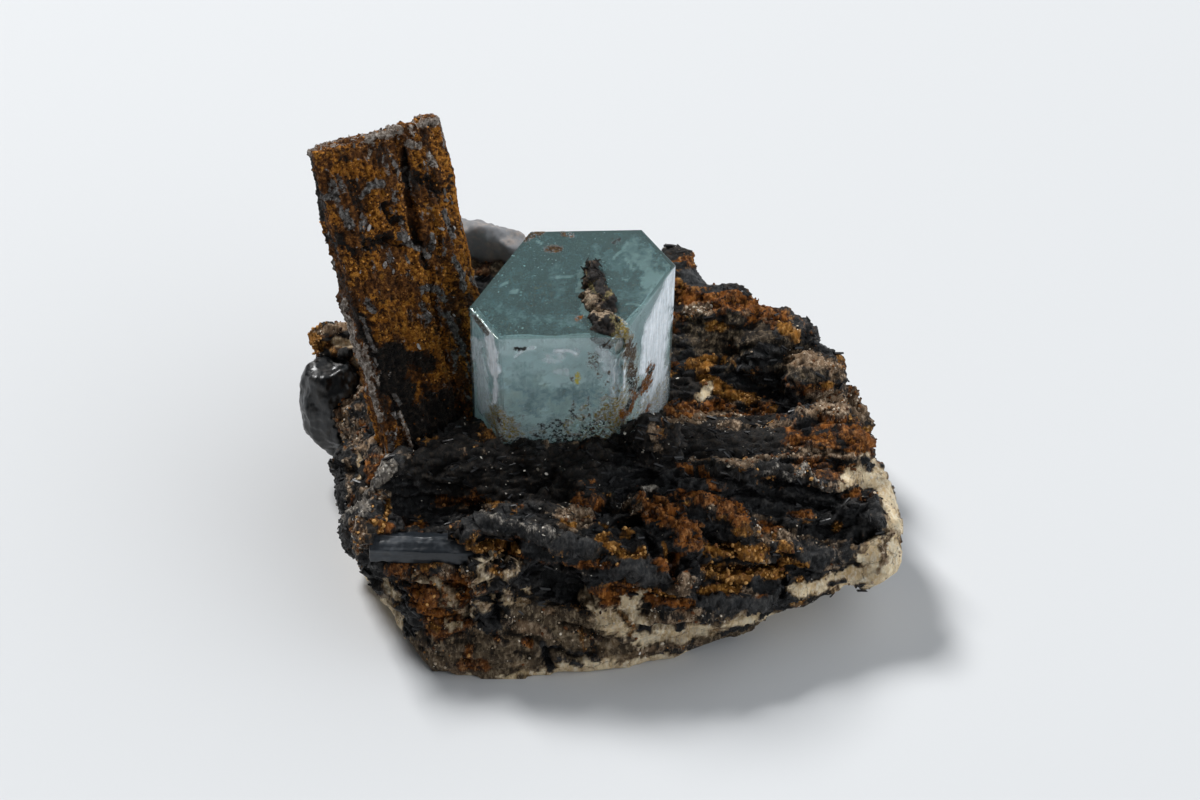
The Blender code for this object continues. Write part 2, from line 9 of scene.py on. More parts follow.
import itertools
import logging
import math
from dataclasses import dataclass
from enum import Enum
from typing import Sequence

import bmesh
import bpy
import numpy as np
from bpy.types import Material, Mesh, Node, NodeSocket, NodeTree, Object
from mathutils import Matrix, Vector
from mathutils.bvhtree import BVHTree


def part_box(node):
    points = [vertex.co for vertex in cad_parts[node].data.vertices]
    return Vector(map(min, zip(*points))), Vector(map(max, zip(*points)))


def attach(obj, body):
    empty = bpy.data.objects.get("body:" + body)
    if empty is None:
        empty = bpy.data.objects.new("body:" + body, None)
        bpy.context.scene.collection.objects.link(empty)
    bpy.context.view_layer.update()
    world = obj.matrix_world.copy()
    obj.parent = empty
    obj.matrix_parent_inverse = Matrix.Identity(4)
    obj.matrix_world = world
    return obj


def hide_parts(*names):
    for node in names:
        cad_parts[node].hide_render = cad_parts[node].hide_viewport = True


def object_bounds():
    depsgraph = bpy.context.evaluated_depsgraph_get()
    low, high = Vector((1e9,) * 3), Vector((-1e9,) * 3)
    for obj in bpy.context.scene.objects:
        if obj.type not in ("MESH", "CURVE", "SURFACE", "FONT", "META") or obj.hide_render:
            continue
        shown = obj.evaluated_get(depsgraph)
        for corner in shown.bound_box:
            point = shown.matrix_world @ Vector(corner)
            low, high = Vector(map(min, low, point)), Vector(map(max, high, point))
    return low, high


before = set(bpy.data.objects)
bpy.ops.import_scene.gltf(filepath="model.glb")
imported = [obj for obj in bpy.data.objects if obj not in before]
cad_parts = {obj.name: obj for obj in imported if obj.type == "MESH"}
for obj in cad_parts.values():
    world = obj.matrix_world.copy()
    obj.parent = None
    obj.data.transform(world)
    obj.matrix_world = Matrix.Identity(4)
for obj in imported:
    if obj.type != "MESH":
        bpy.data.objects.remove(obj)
CAD_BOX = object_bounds()

LOG = logging.getLogger("specimen")
MM = 0.001

Array = np.ndarray
Triple = tuple[float, float, float]
Pixel = tuple[float, float]


# ---- steady noise ------------------------
def scrambled(cells: Array, seed: int) -> Array:
    """Give each whole-number cell three steady random numbers.

    Args:
        cells: Cell indices, one row a cell.
        seed: Picks one of many tables.

    Returns:
        Numbers from 0 to 1, three a row.
    """
    grid = cells.astype(np.int32).view(np.uint32)
    mixed = grid[:, 0] * np.uint32(0x9E3779B1)
    mixed ^= grid[:, 1] * np.uint32(0x85EBCA77)
    mixed ^= grid[:, 2] * np.uint32(0xC2B2AE3D)
    mixed ^= np.full(len(grid), seed * 7919 + 17, np.uint32)
    columns = []
    for _ in range(3):
        mixed = (mixed ^ (mixed >> np.uint32(15))) * np.uint32(0x2C1B3C6D)
        mixed = (mixed ^ (mixed >> np.uint32(12))) * np.uint32(0x297A2D39)
        mixed = mixed ^ (mixed >> np.uint32(15))
        columns.append(mixed / 2.0**32)
    return np.stack(columns, 1)


def smooth_noise(points: Array, seed: int = 0) -> Array:
    """Gradient noise.

    Args:
        points: Places in cell units.
        seed: Picks one of many fields.

    Returns:
        One value a point, about -1 to 1.
    """
    cell = np.floor(points)
    part = points - cell
    ease = part**3 * (part * (part * 6.0 - 15.0) + 10.0)
    total = np.zeros(len(points))
    for corner in itertools.product((0, 1), repeat=3):
        slope = scrambled(cell + corner, seed) * 2.0 - 1.0
        share = np.prod(np.where(np.array(corner) == 1, ease, 1.0 - ease), axis=1)
        total += share * np.einsum("ij,ij->i", slope, part - corner)
    return total * 1.5


def fractal_noise(points: Array, octaves: int = 4, gain: float = 0.5, seed: int = 0) -> Array:
    """Several octaves of smooth_noise added up, each weaker by gain, about -1 to 1."""
    return sum(gain**i * smooth_noise(points * 2.03**i + 3.7 * i, seed + i) for i in range(octaves))


def cell_noise(points: Array, seed: int = 0) -> tuple[Array, Array]:
    """Scatter one kernel in each cell and give the space to the nearest.

    Args:
        points: Places in cell units.
        seed: Picks one of many scatters.

    Returns:
        How far inside its kernel's own ground each point lies, and the kernel's own number.
    """
    cell = np.floor(points)
    nearest = np.full(len(points), 9.0)
    second = np.full(len(points), 9.0)
    number = np.zeros(len(points))
    for step in itertools.product((-1, 0, 1), repeat=3):
        place = cell + step
        away = np.linalg.norm(place + scrambled(place, seed) - points, axis=1)
        closer = away < nearest
        second = np.where(closer, nearest, np.minimum(second, away))
        number = np.where(closer, scrambled(place, seed + 91)[:, 0], number)
        nearest = np.where(closer, away, nearest)
    return second - nearest, number


def ease_between(low: float, high: float, value: Array) -> Array:
    """Smooth step from 0 at low to 1 at high."""
    share = np.clip((value - low) / (high - low), 0.0, 1.0)
    return share * share * (3.0 - 2.0 * share)


# ---- view --------------------------------
@dataclass(frozen=True)
class Viewpoint:
    """Fixed view of the specimen, in millimetres and in pixels of a 1200 by 800 picture."""

    target: Triple = (0.0, -8.5, 20.5)
    distance: float = 213.0
    elevation: float = math.radians(42.0)
    focal: float = 2833.0
    width: int = 1200
    height: int = 800

    def axes(self) -> Array:
        """Rows are the view's right, up and forward directions."""
        rise, run = math.sin(self.elevation), math.cos(self.elevation)
        return np.array(((1.0, 0.0, 0.0), (0.0, rise, run), (0.0, run, -rise)))

    def eye(self) -> Array:
        """Place of the camera."""
        return np.array(self.target) - self.distance * self.axes()[2]

    def pixels(self, points: Array) -> tuple[Array, Array]:
        """See points.

        Args:
            points: Their places in millimetres.

        Returns:
            Pixel of each point, and how far it lies beyond the eye.
        """
        right, up, forward = ((points - self.eye()) @ axis for axis in self.axes())
        column = self.width / 2 + self.focal * right / forward
        row = self.height / 2 - self.focal * up / forward
        return np.stack((column, row), 1), forward

    def sight(self, pixel: Pixel) -> Vector:
        """Unit direction in which the eye sees a pixel."""
        across, above = pixel[0] - self.width / 2, self.height / 2 - pixel[1]
        return Vector(np.array((across, above, self.focal)) @ self.axes()).normalized()


VIEW = Viewpoint()


@dataclass(frozen=True)
class Stroke:
    """A patch drawn on the front.

    Its path is columns and rows of pixels in turn, its width is half of its breadth in pixels, and
    its reach is how far it goes in depth, in millimetres.
    """

    path: tuple[float, ...]
    width: float
    strength: float = 1.0
    reach: float = 3.0
    ragged: float = 0.5


Marks = tuple[tuple[Enum | float, tuple[Stroke, ...]], ...]


def marks(*groups: tuple) -> Marks:
    """Groups of strokes, each written as its kind and then each stroke's values."""
    return tuple((kind, tuple(Stroke(*values) for values in rows)) for kind, *rows in groups)


# ---- surfaces ----------------------------
def new_mesh(work: bmesh.types.BMesh, name: str) -> Mesh:
    """Turn edited geometry into a mesh, and let go of it.

    Args:
        work: The geometry.
        name: Name of the mesh.

    Returns:
        The new mesh.
    """
    mesh = bpy.data.meshes.new(name)
    work.to_mesh(mesh)
    work.free()
    return mesh


def opened(mesh: Mesh) -> bmesh.types.BMesh:
    """The mesh's geometry, ready for editing.

    Args:
        mesh: It stays as it is.

    Returns:
        A copy of its geometry.
    """
    work = bmesh.new()
    work.from_mesh(mesh)
    return work


def within(points: Array, corners: Sequence[Triple], room: float = 0.0) -> Array:
    """Which points lie in a box given in metres, with some millimetres of room round it."""
    low, high = (np.array(corner) / MM for corner in corners)
    return np.all((points > low - room) & (points < high + room), axis=1)


def held_inside(points: Array) -> Array:
    """The points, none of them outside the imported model's box."""
    low, high = (np.array(corner) / MM for corner in CAD_BOX)
    return np.clip(points, low, high)


class Surface:
    """The points of a mesh, worked on together in millimetres."""

    def __init__(self, mesh: Mesh) -> None:
        """Read a mesh.

        Args:
            mesh: It holds metres.
        """
        self.mesh = mesh
        self.count = len(mesh.vertices)
        flat = np.empty(self.count * 3, np.float32)
        mesh.vertices.foreach_get("co", flat)
        self.points = flat.reshape(-1, 3).astype(float) / MM
        edges = np.empty(len(mesh.edges) * 2, np.int32)
        mesh.edges.foreach_get("vertices", edges)
        self.edges = edges.reshape(-1, 2)
        self.degree = np.bincount(self.edges.ravel(), minlength=self.count).clip(1)

    def write(self) -> None:
        """Put the points back in the mesh."""
        self.mesh.vertices.foreach_set("co", (self.points * MM).astype(np.float32).ravel())
        self.mesh.update()

    def normals(self) -> Array:
        """Look where the surface faces.

        Returns:
            The direction at each point.
        """
        self.write()
        flat = np.empty(self.count * 3, np.float32)
        self.mesh.vertex_normals.foreach_get("vector", flat)
        return flat.reshape(-1, 3).astype(float)

    def averaged(self, values: Array) -> Array:
        """Mean of each point's neighbours.

        Args:
            values: A number or a row for each point.

        Returns:
            The same for its neighbours.
        """
        columns = values.reshape(self.count, -1)
        near, far = self.edges.T
        result = np.empty_like(columns, float)
        for i in range(columns.shape[1]):
            total = np.bincount(near, columns[far, i], self.count)
            total += np.bincount(far, columns[near, i], self.count)
            result[:, i] = total / self.degree
        return result.reshape(values.shape)

    def smooth(self, rounds: int) -> None:
        """Relax the points towards their neighbours."""
        for _ in range(rounds):
            self.points += 0.5 * (self.averaged(self.points) - self.points)

    def push(self, amount: Array) -> None:
        """Move each point along its normal by an amount."""
        self.points += self.normals() * amount[:, None]

    def hollowness(self, rounds: int) -> Array:
        """Compare the surface with a smoothed one.

        Args:
            rounds: Rounds of smoothing.

        Returns:
            How deep each point lies below the surface round it, in millimetres.
        """
        around = self.points
        for _ in range(rounds):
            around = self.averaged(around)
        return np.einsum("ij,ij->i", around - self.points, self.normals())

    def settle(self) -> None:
        """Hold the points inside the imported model's box and put them back in the mesh."""
        self.points = held_inside(self.points)
        self.write()

    def paint(self, name: str, values: Array) -> None:
        """Store one number a point for the material."""
        layer = self.mesh.attributes.new(name, "FLOAT", "POINT")
        layer.data.foreach_set("value", values.astype(np.float32))

    def tree(self) -> BVHTree:
        """Make a search tree.

        Returns:
            The tree of the mesh, in metres.
        """
        self.write()
        work = opened(self.mesh)
        tree = BVHTree.FromBMesh(work)
        work.free()
        return tree


class Brush:
    """Turns strokes on the view into shares on a surface."""

    def __init__(self, surface: Surface, seed: int) -> None:
        """Cast from the view onto the surface as it now is.

        Args:
            surface: What the strokes fall on.
            seed: Picks the way in which their edges wander.
        """
        self.surface = surface
        self.tree = surface.tree()
        self.pixels, self.depths = VIEW.pixels(surface.points)
        wander = [fractal_noise(surface.points * 0.9, 4, 0.72, seed + i) for i in range(2)]
        self.wander = np.stack(wander, 1)

    def depth_at(self, pixel: Pixel) -> float | None:
        """Cast one ray.

        Args:
            pixel: Where it goes.

        Returns:
            How far beyond the eye the surface lies there, if it does.
        """
        place, _, _, _ = self.tree.ray_cast(Vector(VIEW.eye() * MM), VIEW.sight(pixel))
        if place is None:
            return None
        return float((np.array(place) / MM - VIEW.eye()) @ VIEW.axes()[2])

    def share(self, mark: Stroke) -> Array:
        """Lay one stroke on the surface.

        Args:
            mark: The stroke.

        Returns:
            How far each point lies inside it, from 0 to its strength.
        """
        path = list(zip(mark.path[::2], mark.path[1::2]))
        found = [self.depth_at(pixel) for pixel in path]
        known = [depth for depth in found if depth is not None]
        if not known:
            return np.zeros(self.surface.count)
        middle = sum(known) / len(known)
        ends = [(pixel, middle if depth is None else depth) for pixel, depth in zip(path, found)]
        pixels = self.pixels + self.wander * mark.width * mark.ragged
        best = np.full(self.surface.count, np.inf)
        level = np.full(self.surface.count, middle)
        for (start, near), (end, far) in zip(ends, ends[1:] or ends):
            line = np.array(end) - start
            along = np.clip(((pixels - start) @ line) / max(line @ line, 1e-9), 0.0, 1.0)
            away = np.linalg.norm(pixels - start - along[:, None] * line, axis=1)
            closer = away < best
            best = np.where(closer, away, best)
            level = np.where(closer, near + (far - near) * along, level)
        inside = 1.0 - ease_between(0.55, 1.25, best / mark.width)
        within_reach = 1.0 - ease_between(0.6, 1.0, np.abs(self.depths - level) / mark.reach)
        return inside * within_reach * mark.strength

    def add_heights(self, amount: Array, groups: Marks) -> None:
        """Add every stroke's share, times its group's number, to an amount, in place."""
        for height, mark in ((height, mark) for height, strokes in groups for mark in strokes):
            amount += height * self.share(mark)


class Palette:
    """Shares of several minerals on a surface that add up to at most one."""

    def __init__(self, surface: Surface, kinds: type[Enum], bare: Enum | None = None) -> None:
        """Start with nothing laid.

        Args:
            surface: What the minerals lie on.
            kinds: The minerals.
            bare: The one that shows where nothing is laid.
        """
        self.surface = surface
        self.shares = {kind: np.zeros(surface.count) for kind in kinds if kind is not bare}

    def lay(self, mineral: Enum, share: Array) -> None:
        """Cover what is there with a share of one mineral.

        Args:
            mineral: The bare one uncovers the surface.
            share: From 0 to 1 at each point.
        """
        share = np.clip(share, 0.0, 1.0)
        for name in self.shares:
            self.shares[name] *= 1.0 - share
        if mineral in self.shares:
            self.shares[mineral] += share

    def draw(self, brush: Brush, groups: Marks) -> None:
        """Lay the strokes of each mineral in turn."""
        for mineral, mark in ((kind, mark) for kind, strokes in groups for mark in strokes):
            self.lay(mineral, brush.share(mark))

    def store(self) -> None:
        """Hand each share to the material under the mineral's name."""
        for name, share in self.shares.items():
            self.surface.paint(name.value, share)


# ---- shader graphs -----------------------
Value = NodeSocket | float | tuple


class Graph:
    """Short hand for placing and joining shader nodes in one tree."""

    def __init__(self, tree: NodeTree) -> None:
        """Work in a tree."""
        self.tree = tree

    def put(self, kind: str, options: dict | None = None, *first: Value, **inputs: Value) -> Node:
        """Place a node.

        Args:
            kind: Node type without its ShaderNode prefix.
            options: Node properties to set.
            *first: What feeds its first inputs, in order.
            **inputs: What feeds other inputs, by name, with _ for a space.

        Returns:
            The new node.
        """
        node = self.tree.nodes.new(f"ShaderNode{kind}")
        for name, value in (options or {}).items():
            setattr(node, name, value)
        for socket, value in zip(node.inputs, first):
            self.feed(socket, value)
        self.join(node, **inputs)
        return node

    def feed(self, socket: NodeSocket, value: Value) -> None:
        """Join an input to an output, or set its value.

        Args:
            socket: The input.
            value: The output, or a value. A colour needs no alpha.
        """
        if isinstance(value, NodeSocket):
            self.tree.links.new(value, socket)
        elif isinstance(value, tuple) and socket.type == "RGBA":
            socket.default_value = (*value[:3], 1.0)
        else:
            socket.default_value = value

    def join(self, node: Node, **inputs: Value) -> None:
        """Feed a node's inputs by name, with _ for a space."""
        for name, value in inputs.items():
            self.feed(node.inputs[name.replace("_", " ")], value)

    def math(self, operation: str, *values: Value, clamp: bool = False) -> NodeSocket:
        """Result of a Math node."""
        return self.put("Math", {"operation": operation, "use_clamp": clamp}, *values).outputs[0]

    def vector(self, operation: str, *values: Value, **inputs: Value) -> NodeSocket:
        """Result of a Vector Math node."""
        return self.put("VectorMath", {"operation": operation}, *values, **inputs).outputs[0]

    def mix(self, share: Value, base: Value, top: Value, blend: str = "MIX") -> NodeSocket:
        """Colour between two.

        Args:
            share: How much of the upper one there is.
            base: The lower one.
            top: The upper one.
            blend: Way of mixing.

        Returns:
            The colour.
        """
        node = self.put("Mix", {"data_type": "RGBA", "blend_type": blend}, share)
        self.feed(node.inputs[6], base)
        self.feed(node.inputs[7], top)
        return node.outputs[2]

    def between(self, share: Value, base: Value, top: Value) -> NodeSocket:
        """Number between base and top."""
        return self.math("MULTIPLY_ADD", self.math("SUBTRACT", top, base), share, base)

    def blend(self, first: Value, share: float, second: Value) -> NodeSocket:
        """Number made of two, with a share of the first."""
        return self.math("MULTIPLY_ADD", first, share, self.math("MULTIPLY", second, 1.0 - share))

    def dimmed(self, colour: Value, level: Value) -> NodeSocket:
        """Colour times a number."""
        grey = self.put("CombineColor", None, level, level, level).outputs[0]
        return self.mix(1.0, colour, grey, "MULTIPLY")

    def span(self, value: Value, low: float, high: float, *ends: float) -> NodeSocket:
        """Value moved from one range to another, 0 to 1 if not stated, and held at its ends."""
        return self.put("MapRange", None, value, low, high, *ends).outputs[0]

    def millimetres(self, stretch: Triple = (1.0, 1.0, 1.0)) -> NodeSocket:
        """Place on the object in millimetres, stretched along its axes."""
        scale = tuple(1.0 / (MM * part) for part in stretch)
        return self.put("Mapping", None, self.put("TexCoord").outputs["Object"], Scale=scale).outputs[0]

    def noise(self, place: Value, scale: Value, detail: float, rough: float = 0.5, bent: float = 0.0
              ) -> NodeSocket:
        """Level of a Noise Texture."""
        return self.put("TexNoise", Vector=place, Scale=scale, Detail=detail, Roughness=rough,
                        Distortion=bent).outputs[0]

    def bump(self, height: Value, strength: float, distance: float) -> NodeSocket:
        """Normal of a low relief, its distance in millimetres."""
        return self.put("Bump", Height=height, Strength=strength, Distance=distance * MM).outputs[0]

    def attribute(self, name: str) -> NodeSocket:
        """A number stored on the surface."""
        return self.put("Attribute", {"attribute_name": name}).outputs["Fac"]

    def group(self, tree: NodeTree, *values: Value) -> Sequence[NodeSocket]:
        """Place a shared group and give its outputs."""
        return self.put("Group", {"node_tree": tree}, *values).outputs

    def mottled(self, tones: Tones, broad: Value, fine: Value) -> NodeSocket:
        """Tones of one mineral, mottled by two noises."""
        return self.group(MOTTLED, tones.dark, tones.middle, tones.light, broad, fine)[0]

    def patch(self, kind: Enum, breakup: Value, amount: float, sharpness: float) -> NodeSocket:
        """Mask of a mineral's stored share, with a broken edge."""
        return self.group(BROKEN_EDGE, self.attribute(kind.value), breakup, amount, sharpness)[0]


class Effect(Graph):
    """A node group that several finishes place, while it is built."""

    def __init__(self, name: str, **inputs: Value | None) -> None:
        """Start a group.

        Args:
            name: Name of the group.
            **inputs: First value of each input: a number, a colour, or None for a vector.
        """
        super().__init__(bpy.data.node_groups.new(name, "ShaderNodeTree"))
        for label, value in inputs.items():
            kind = {type(None): "Vector", tuple: "Color"}.get(type(value), "Float")
            item = self.tree.interface.new_socket(label, in_out="INPUT", socket_type=f"NodeSocket{kind}")
            if value is not None:
                item.default_value = value
        self.given = self.tree.nodes.new("NodeGroupInput").outputs

    def give(self, **results: NodeSocket) -> NodeTree:
        """Put out the results.

        Args:
            **results: What feeds each output.

        Returns:
            The finished group.
        """
        for label, result in results.items():
            kind = "Color" if result.type == "RGBA" else "Float"
            self.tree.interface.new_socket(label, in_out="OUTPUT", socket_type=f"NodeSocket{kind}")
        self.join(self.tree.nodes.new("NodeGroupOutput"), **results)
        return self.tree


def broken_edge() -> NodeTree:
    """Turn a soft share into a patch with a broken edge.

    Returns:
        The group.
    """
    effect = Effect("Broken edge", Share=0.0, Breakup=0.5, Amount=1.0, Sharpness=4.0)
    share, breakup, amount, sharpness, *_ = effect.given
    moved = effect.math("MULTIPLY_ADD", effect.math("SUBTRACT", breakup, 0.5), amount, share)
    apart = effect.math("SUBTRACT", moved, 0.5)
    sharp = effect.math("MULTIPLY_ADD", apart, sharpness, 0.5, clamp=True)
    return effect.give(Mask=effect.math("MULTIPLY", sharp, effect.span(share, 0.0, 0.12)))


def grit() -> NodeTree:
    """Pack grains closely.

    Returns:
        A group that gives a number for each grain, the height of its face, and a fine noise.
    """
    effect = Effect("Grit", Vector=None, Scale=3.0, Jumble=0.35)
    place, scale, jumble, *_ = effect.given
    waver = effect.put("TexNoise", Vector=place, Scale=scale, Detail=2.0).outputs["Color"]
    bent = effect.vector("ADD", place, effect.vector("SCALE", waver, Scale=jumble))
    cells = effect.put("TexVoronoi", Vector=bent, Scale=scale)
    number = effect.put("SeparateColor", None, cells.outputs["Color"]).outputs[0]
    height = effect.math("SUBTRACT", 1.0, cells.outputs["Distance"])
    fine = effect.noise(place, effect.math("MULTIPLY", scale, 0.7), 7.0, 0.72)
    return effect.give(Number=number, Height=height, Fine=fine)


def specks() -> NodeTree:
    """Scatter sparse small specks.

    Returns:
        A group whose mask is one inside them.
    """
    effect = Effect("Specks", Vector=None, Scale=2.0, Size=0.25, Share=0.1)
    place, scale, size, share, *_ = effect.given
    cells = effect.put("TexVoronoi", Vector=place, Scale=scale)
    number = effect.put("SeparateColor", None, cells.outputs["Color"]).outputs[1]
    near = effect.math("SUBTRACT", size, cells.outputs["Distance"])
    spot = effect.math("MULTIPLY", near, 14.0, clamp=True)
    return effect.give(Mask=effect.math("MULTIPLY", effect.math("LESS_THAN", number, share), spot))


def mottled() -> NodeTree:
    """Mottle three tones of one mineral by two noises.

    Returns:
        The group.
    """
    grey = (0.2, 0.2, 0.2, 1.0)
    effect = Effect("Mottled mineral", Dark=grey, Middle=grey, Light=grey, Broad=0.5, Fine=0.5)
    dark, middle, light, broad, fine, *_ = effect.given
    lower = effect.mix(effect.span(broad, 0.35, 0.65), dark, middle)
    return effect.give(Color=effect.mix(effect.span(fine, 0.5, 0.72), lower, light))


BROKEN_EDGE, GRIT, SPECKS, MOTTLED = broken_edge(), grit(), specks(), mottled()


class Skin(Graph):
    """The nodes of one material, round its Principled shader."""

    def __init__(self, name: str) -> None:
        """Start a material.

        Args:
            name: Its name.
        """
        self.material = bpy.data.materials.new(name)
        self.material.use_nodes = True
        super().__init__(self.material.node_tree)

    def dress(self, **inputs: Value) -> Material:
        """Feed the shader by its inputs' names, and hand over the material."""
        self.join(self.tree.nodes["Principled BSDF"], **inputs)
        return self.material


@dataclass(frozen=True)
class Tones:
    """Dark, middle and light colour of a mineral."""

    dark: Triple
    middle: Triple
    light: Triple


class Mineral(Enum):
    """What the rock is made of, place by place. The value names the stored share."""

    EARTH = "earth"
    SCHORL = "schorl"
    SLATE = "slate"
    RUST = "rust"
    OCHRE = "ochre"
    SAND = "sand"
    FELDSPAR = "feldspar"
    TAUPE = "taupe"
    # Mica along the bright rims, partly a painted highlight.
    MICA_AND_HIGHLIGHT = "mica_and_highlight"


@dataclass(frozen=True)
class Look:
    """Tones, roughness and sheen of one mineral, and how far the edges of its patches break up."""

    tones: Tones
    roughness: float
    sheen: float
    ragged: float = 3.0


MINERAL_LOOKS = {
    Mineral.EARTH: Look(
        Tones((0.0022, 0.002, 0.0018), (0.0075, 0.006, 0.005), (0.042, 0.030, 0.021)), 0.6, 0.11),
    Mineral.SCHORL: Look(
        Tones((0.002, 0.0024, 0.0028), (0.007, 0.0078, 0.0088), (0.036, 0.037, 0.039)), 0.38, 0.26),
    Mineral.SLATE: Look(
        Tones((0.006, 0.0068, 0.008), (0.017, 0.0188, 0.0205), (0.068, 0.070, 0.072)), 0.45, 0.28),
    Mineral.RUST: Look(
        Tones((0.035, 0.012, 0.003), (0.30, 0.098, 0.020), (0.60, 0.25, 0.065)), 0.85, 0.06),
    Mineral.OCHRE: Look(
        Tones((0.06, 0.024, 0.005), (0.34, 0.140, 0.024), (0.68, 0.34, 0.08)), 0.85, 0.08),
    Mineral.SAND: Look(
        Tones((0.06, 0.036, 0.020), (0.30, 0.195, 0.115), (0.66, 0.50, 0.35)), 0.8, 0.12),
    Mineral.FELDSPAR: Look(
        Tones((0.62, 0.42, 0.20), (0.93, 0.78, 0.53), (0.99, 0.92, 0.77)), 0.55, 0.25, 2.2),
    Mineral.TAUPE: Look(
        Tones((0.028, 0.018, 0.010), (0.135, 0.095, 0.058), (0.42, 0.32, 0.205)), 0.7, 0.13, 2.4),
    # Mica, pale: also the painted highlight of the bright rims.
    Mineral.MICA_AND_HIGHLIGHT: Look(
        Tones((0.04, 0.032, 0.026), (0.17, 0.145, 0.115), (0.62, 0.56, 0.47)), 0.3, 0.5, 4.5),
}


@dataclass(frozen=True)
class RockFinish:
    """Finish of the matrix: every mineral mottled in its own tones and met in broken edges, with painted
    shade in its hollows and a pale crest tone that is partly dust and partly a painted highlight.
    """

    name: str = "weathered_rock"
    grain_scale: float = 3.4
    broad_scale: float = 0.85
    speck_tone: Triple = (0.30, 0.22, 0.16)
    # Pale tone on the crests, partly dust and partly a painted highlight.
    crest_dust_and_highlight_tone: Triple = (0.24, 0.21, 0.18)
    stain_tone: Triple = (0.27, 0.135, 0.045)
    crack_tone: Triple = (0.10, 0.055, 0.025)
    speck_strength: float = 0.38
    crest_dust_and_highlight_strength: float = 0.15

    def build(self) -> Material:
        """Make the material.

        Returns:
            The material.
        """
        graph = Skin(self.name)
        place = graph.millimetres((0.7, 1.1, 1.5))
        number, face, fine = graph.group(GRIT, place, self.grain_scale, 0.4)
        broad = graph.noise(place, self.broad_scale, 5.0, 0.62)
        blend = graph.blend(number, 0.14, fine)
        layer = {kind: graph.mottled(look.tones, broad, blend) for kind, look in MINERAL_LOOKS.items()}
        layer[Mineral.FELDSPAR] = self.cracked(graph, layer[Mineral.FELDSPAR])
        colour = layer.pop(Mineral.EARTH)
        rough = graph.span(fine, 0.3, 0.7, 0.45, 0.8)
        sheen = graph.span(fine, 0.3, 0.7, 0.3, 0.12)
        breakup = graph.blend(blend, 0.65, broad)
        for mineral, tone in layer.items():
            look = MINERAL_LOOKS[mineral]
            mask = graph.patch(mineral, breakup, look.ragged, 1.6)
            colour = graph.mix(mask, colour, tone)
            rough = graph.between(mask, rough, look.roughness)
            sheen = graph.between(mask, sheen, look.sheen)
        specked = graph.group(SPECKS, place, 2.6, 0.2, 0.07)[0]
        specked = graph.math("MULTIPLY", specked, self.speck_strength)
        colour = graph.mix(specked, colour, self.speck_tone)
        # Crests: a pale tone on the ridges, partly dust and partly a painted highlight.
        crest_dust_and_highlight = graph.span(fine, 0.42, 0.62, 0.0, self.crest_dust_and_highlight_strength)
        crest_dust_and_highlight = graph.math("MULTIPLY", graph.attribute("crest"), crest_dust_and_highlight)
        colour = graph.mix(crest_dust_and_highlight, colour, self.crest_dust_and_highlight_tone)
        # Painted shade: the colour is darkened in the rock's hollows, less so on the pale feldspar.
        lost = graph.span(graph.attribute("feldspar"), 0.3, 0.8, 0.84, 0.25)
        hollow = graph.math("MULTIPLY", graph.attribute("hollow"), lost)
        return graph.dress(
            Base_Color=graph.dimmed(colour, graph.math("SUBTRACT", 1.0, hollow)), Roughness=rough,
            Specular_IOR_Level=sheen,
            Normal=graph.bump(graph.math("MULTIPLY_ADD", face, 0.25, fine), 0.8, 0.35))

    def cracked(self, graph: Graph, tone: NodeSocket) -> NodeSocket:
        """Stain pale rock from its borders, and crack it between its blocks.

        Args:
            graph: Where the nodes go.
            tone: Colour of the clean rock.

        Returns:
            Colour of the worn rock.
        """
        place = graph.millimetres((1.3, 1.0, 0.8))
        smudge = graph.noise(place, 0.8, 7.0, 0.68)
        border = graph.span(graph.attribute("feldspar"), 0.40, 0.9, 0.26, 0.0)
        stained = graph.span(graph.math("ADD", smudge, border), 0.54, 0.78, 0.0, 0.76)
        tone = graph.mix(stained, tone, self.stain_tone)
        waver = graph.put("TexNoise", Vector=place, Scale=1.6, Detail=5.0, Roughness=0.7)
        bent = graph.vector("ADD", place, waver.outputs["Color"])
        cells = graph.put("TexVoronoi", {"feature": "DISTANCE_TO_EDGE"}, Vector=bent, Scale=0.5)
        line = graph.span(cells.outputs["Distance"], 0.0, 0.04, 0.75, 0.0)
        broken = graph.math("MULTIPLY", line, graph.span(smudge, 0.42, 0.55))
        return graph.mix(broken, tone, self.crack_tone)


# ---- helpers for pieces ------------------
def node_mesh(node: str) -> Mesh:
    """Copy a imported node's mesh, welded into one skin.

    Args:
        node: Name of the node.

    Returns:
        The copy.
    """
    work = opened(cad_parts[node].data)
    bmesh.ops.remove_doubles(work, verts=work.verts, dist=2e-6)
    return new_mesh(work, f"{node}_copy")


def placed(name: str, data: bpy.types.ID) -> Object:
    """Put a thing in the scene.

    Args:
        name: Name of the object.
        data: Its mesh, lamp or lens.

    Returns:
        The object.
    """
    thing = bpy.data.objects.new(name, data)
    bpy.context.scene.collection.objects.link(thing)
    return thing


def modified(mesh: Mesh, kind: str, **settings: object) -> Mesh:
    """Apply one modifier.

    Args:
        mesh: What it works on.
        kind: Type of the modifier.
        **settings: Its values.

    Returns:
        The result, as a new mesh.
    """
    holder = placed("holder", mesh)
    modifier = holder.modifiers.new(kind, kind)
    for name, value in settings.items():
        setattr(modifier, name, value)
    graph = bpy.context.evaluated_depsgraph_get()
    result = bpy.data.meshes.new_from_object(holder.evaluated_get(graph))
    bpy.data.objects.remove(holder)
    return result


def even_skin(node: str, voxel: float, rounds: int) -> Surface:
    """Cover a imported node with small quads.

    Args:
        node: Name of the node.
        voxel: Breadth of a quad in millimetres.
        rounds: Rounds of smoothing.

    Returns:
        The new skin.
    """
    skin = Surface(modified(node_mesh(node), "REMESH", mode="VOXEL", voxel_size=voxel * MM))
    skin.smooth(rounds)
    return skin


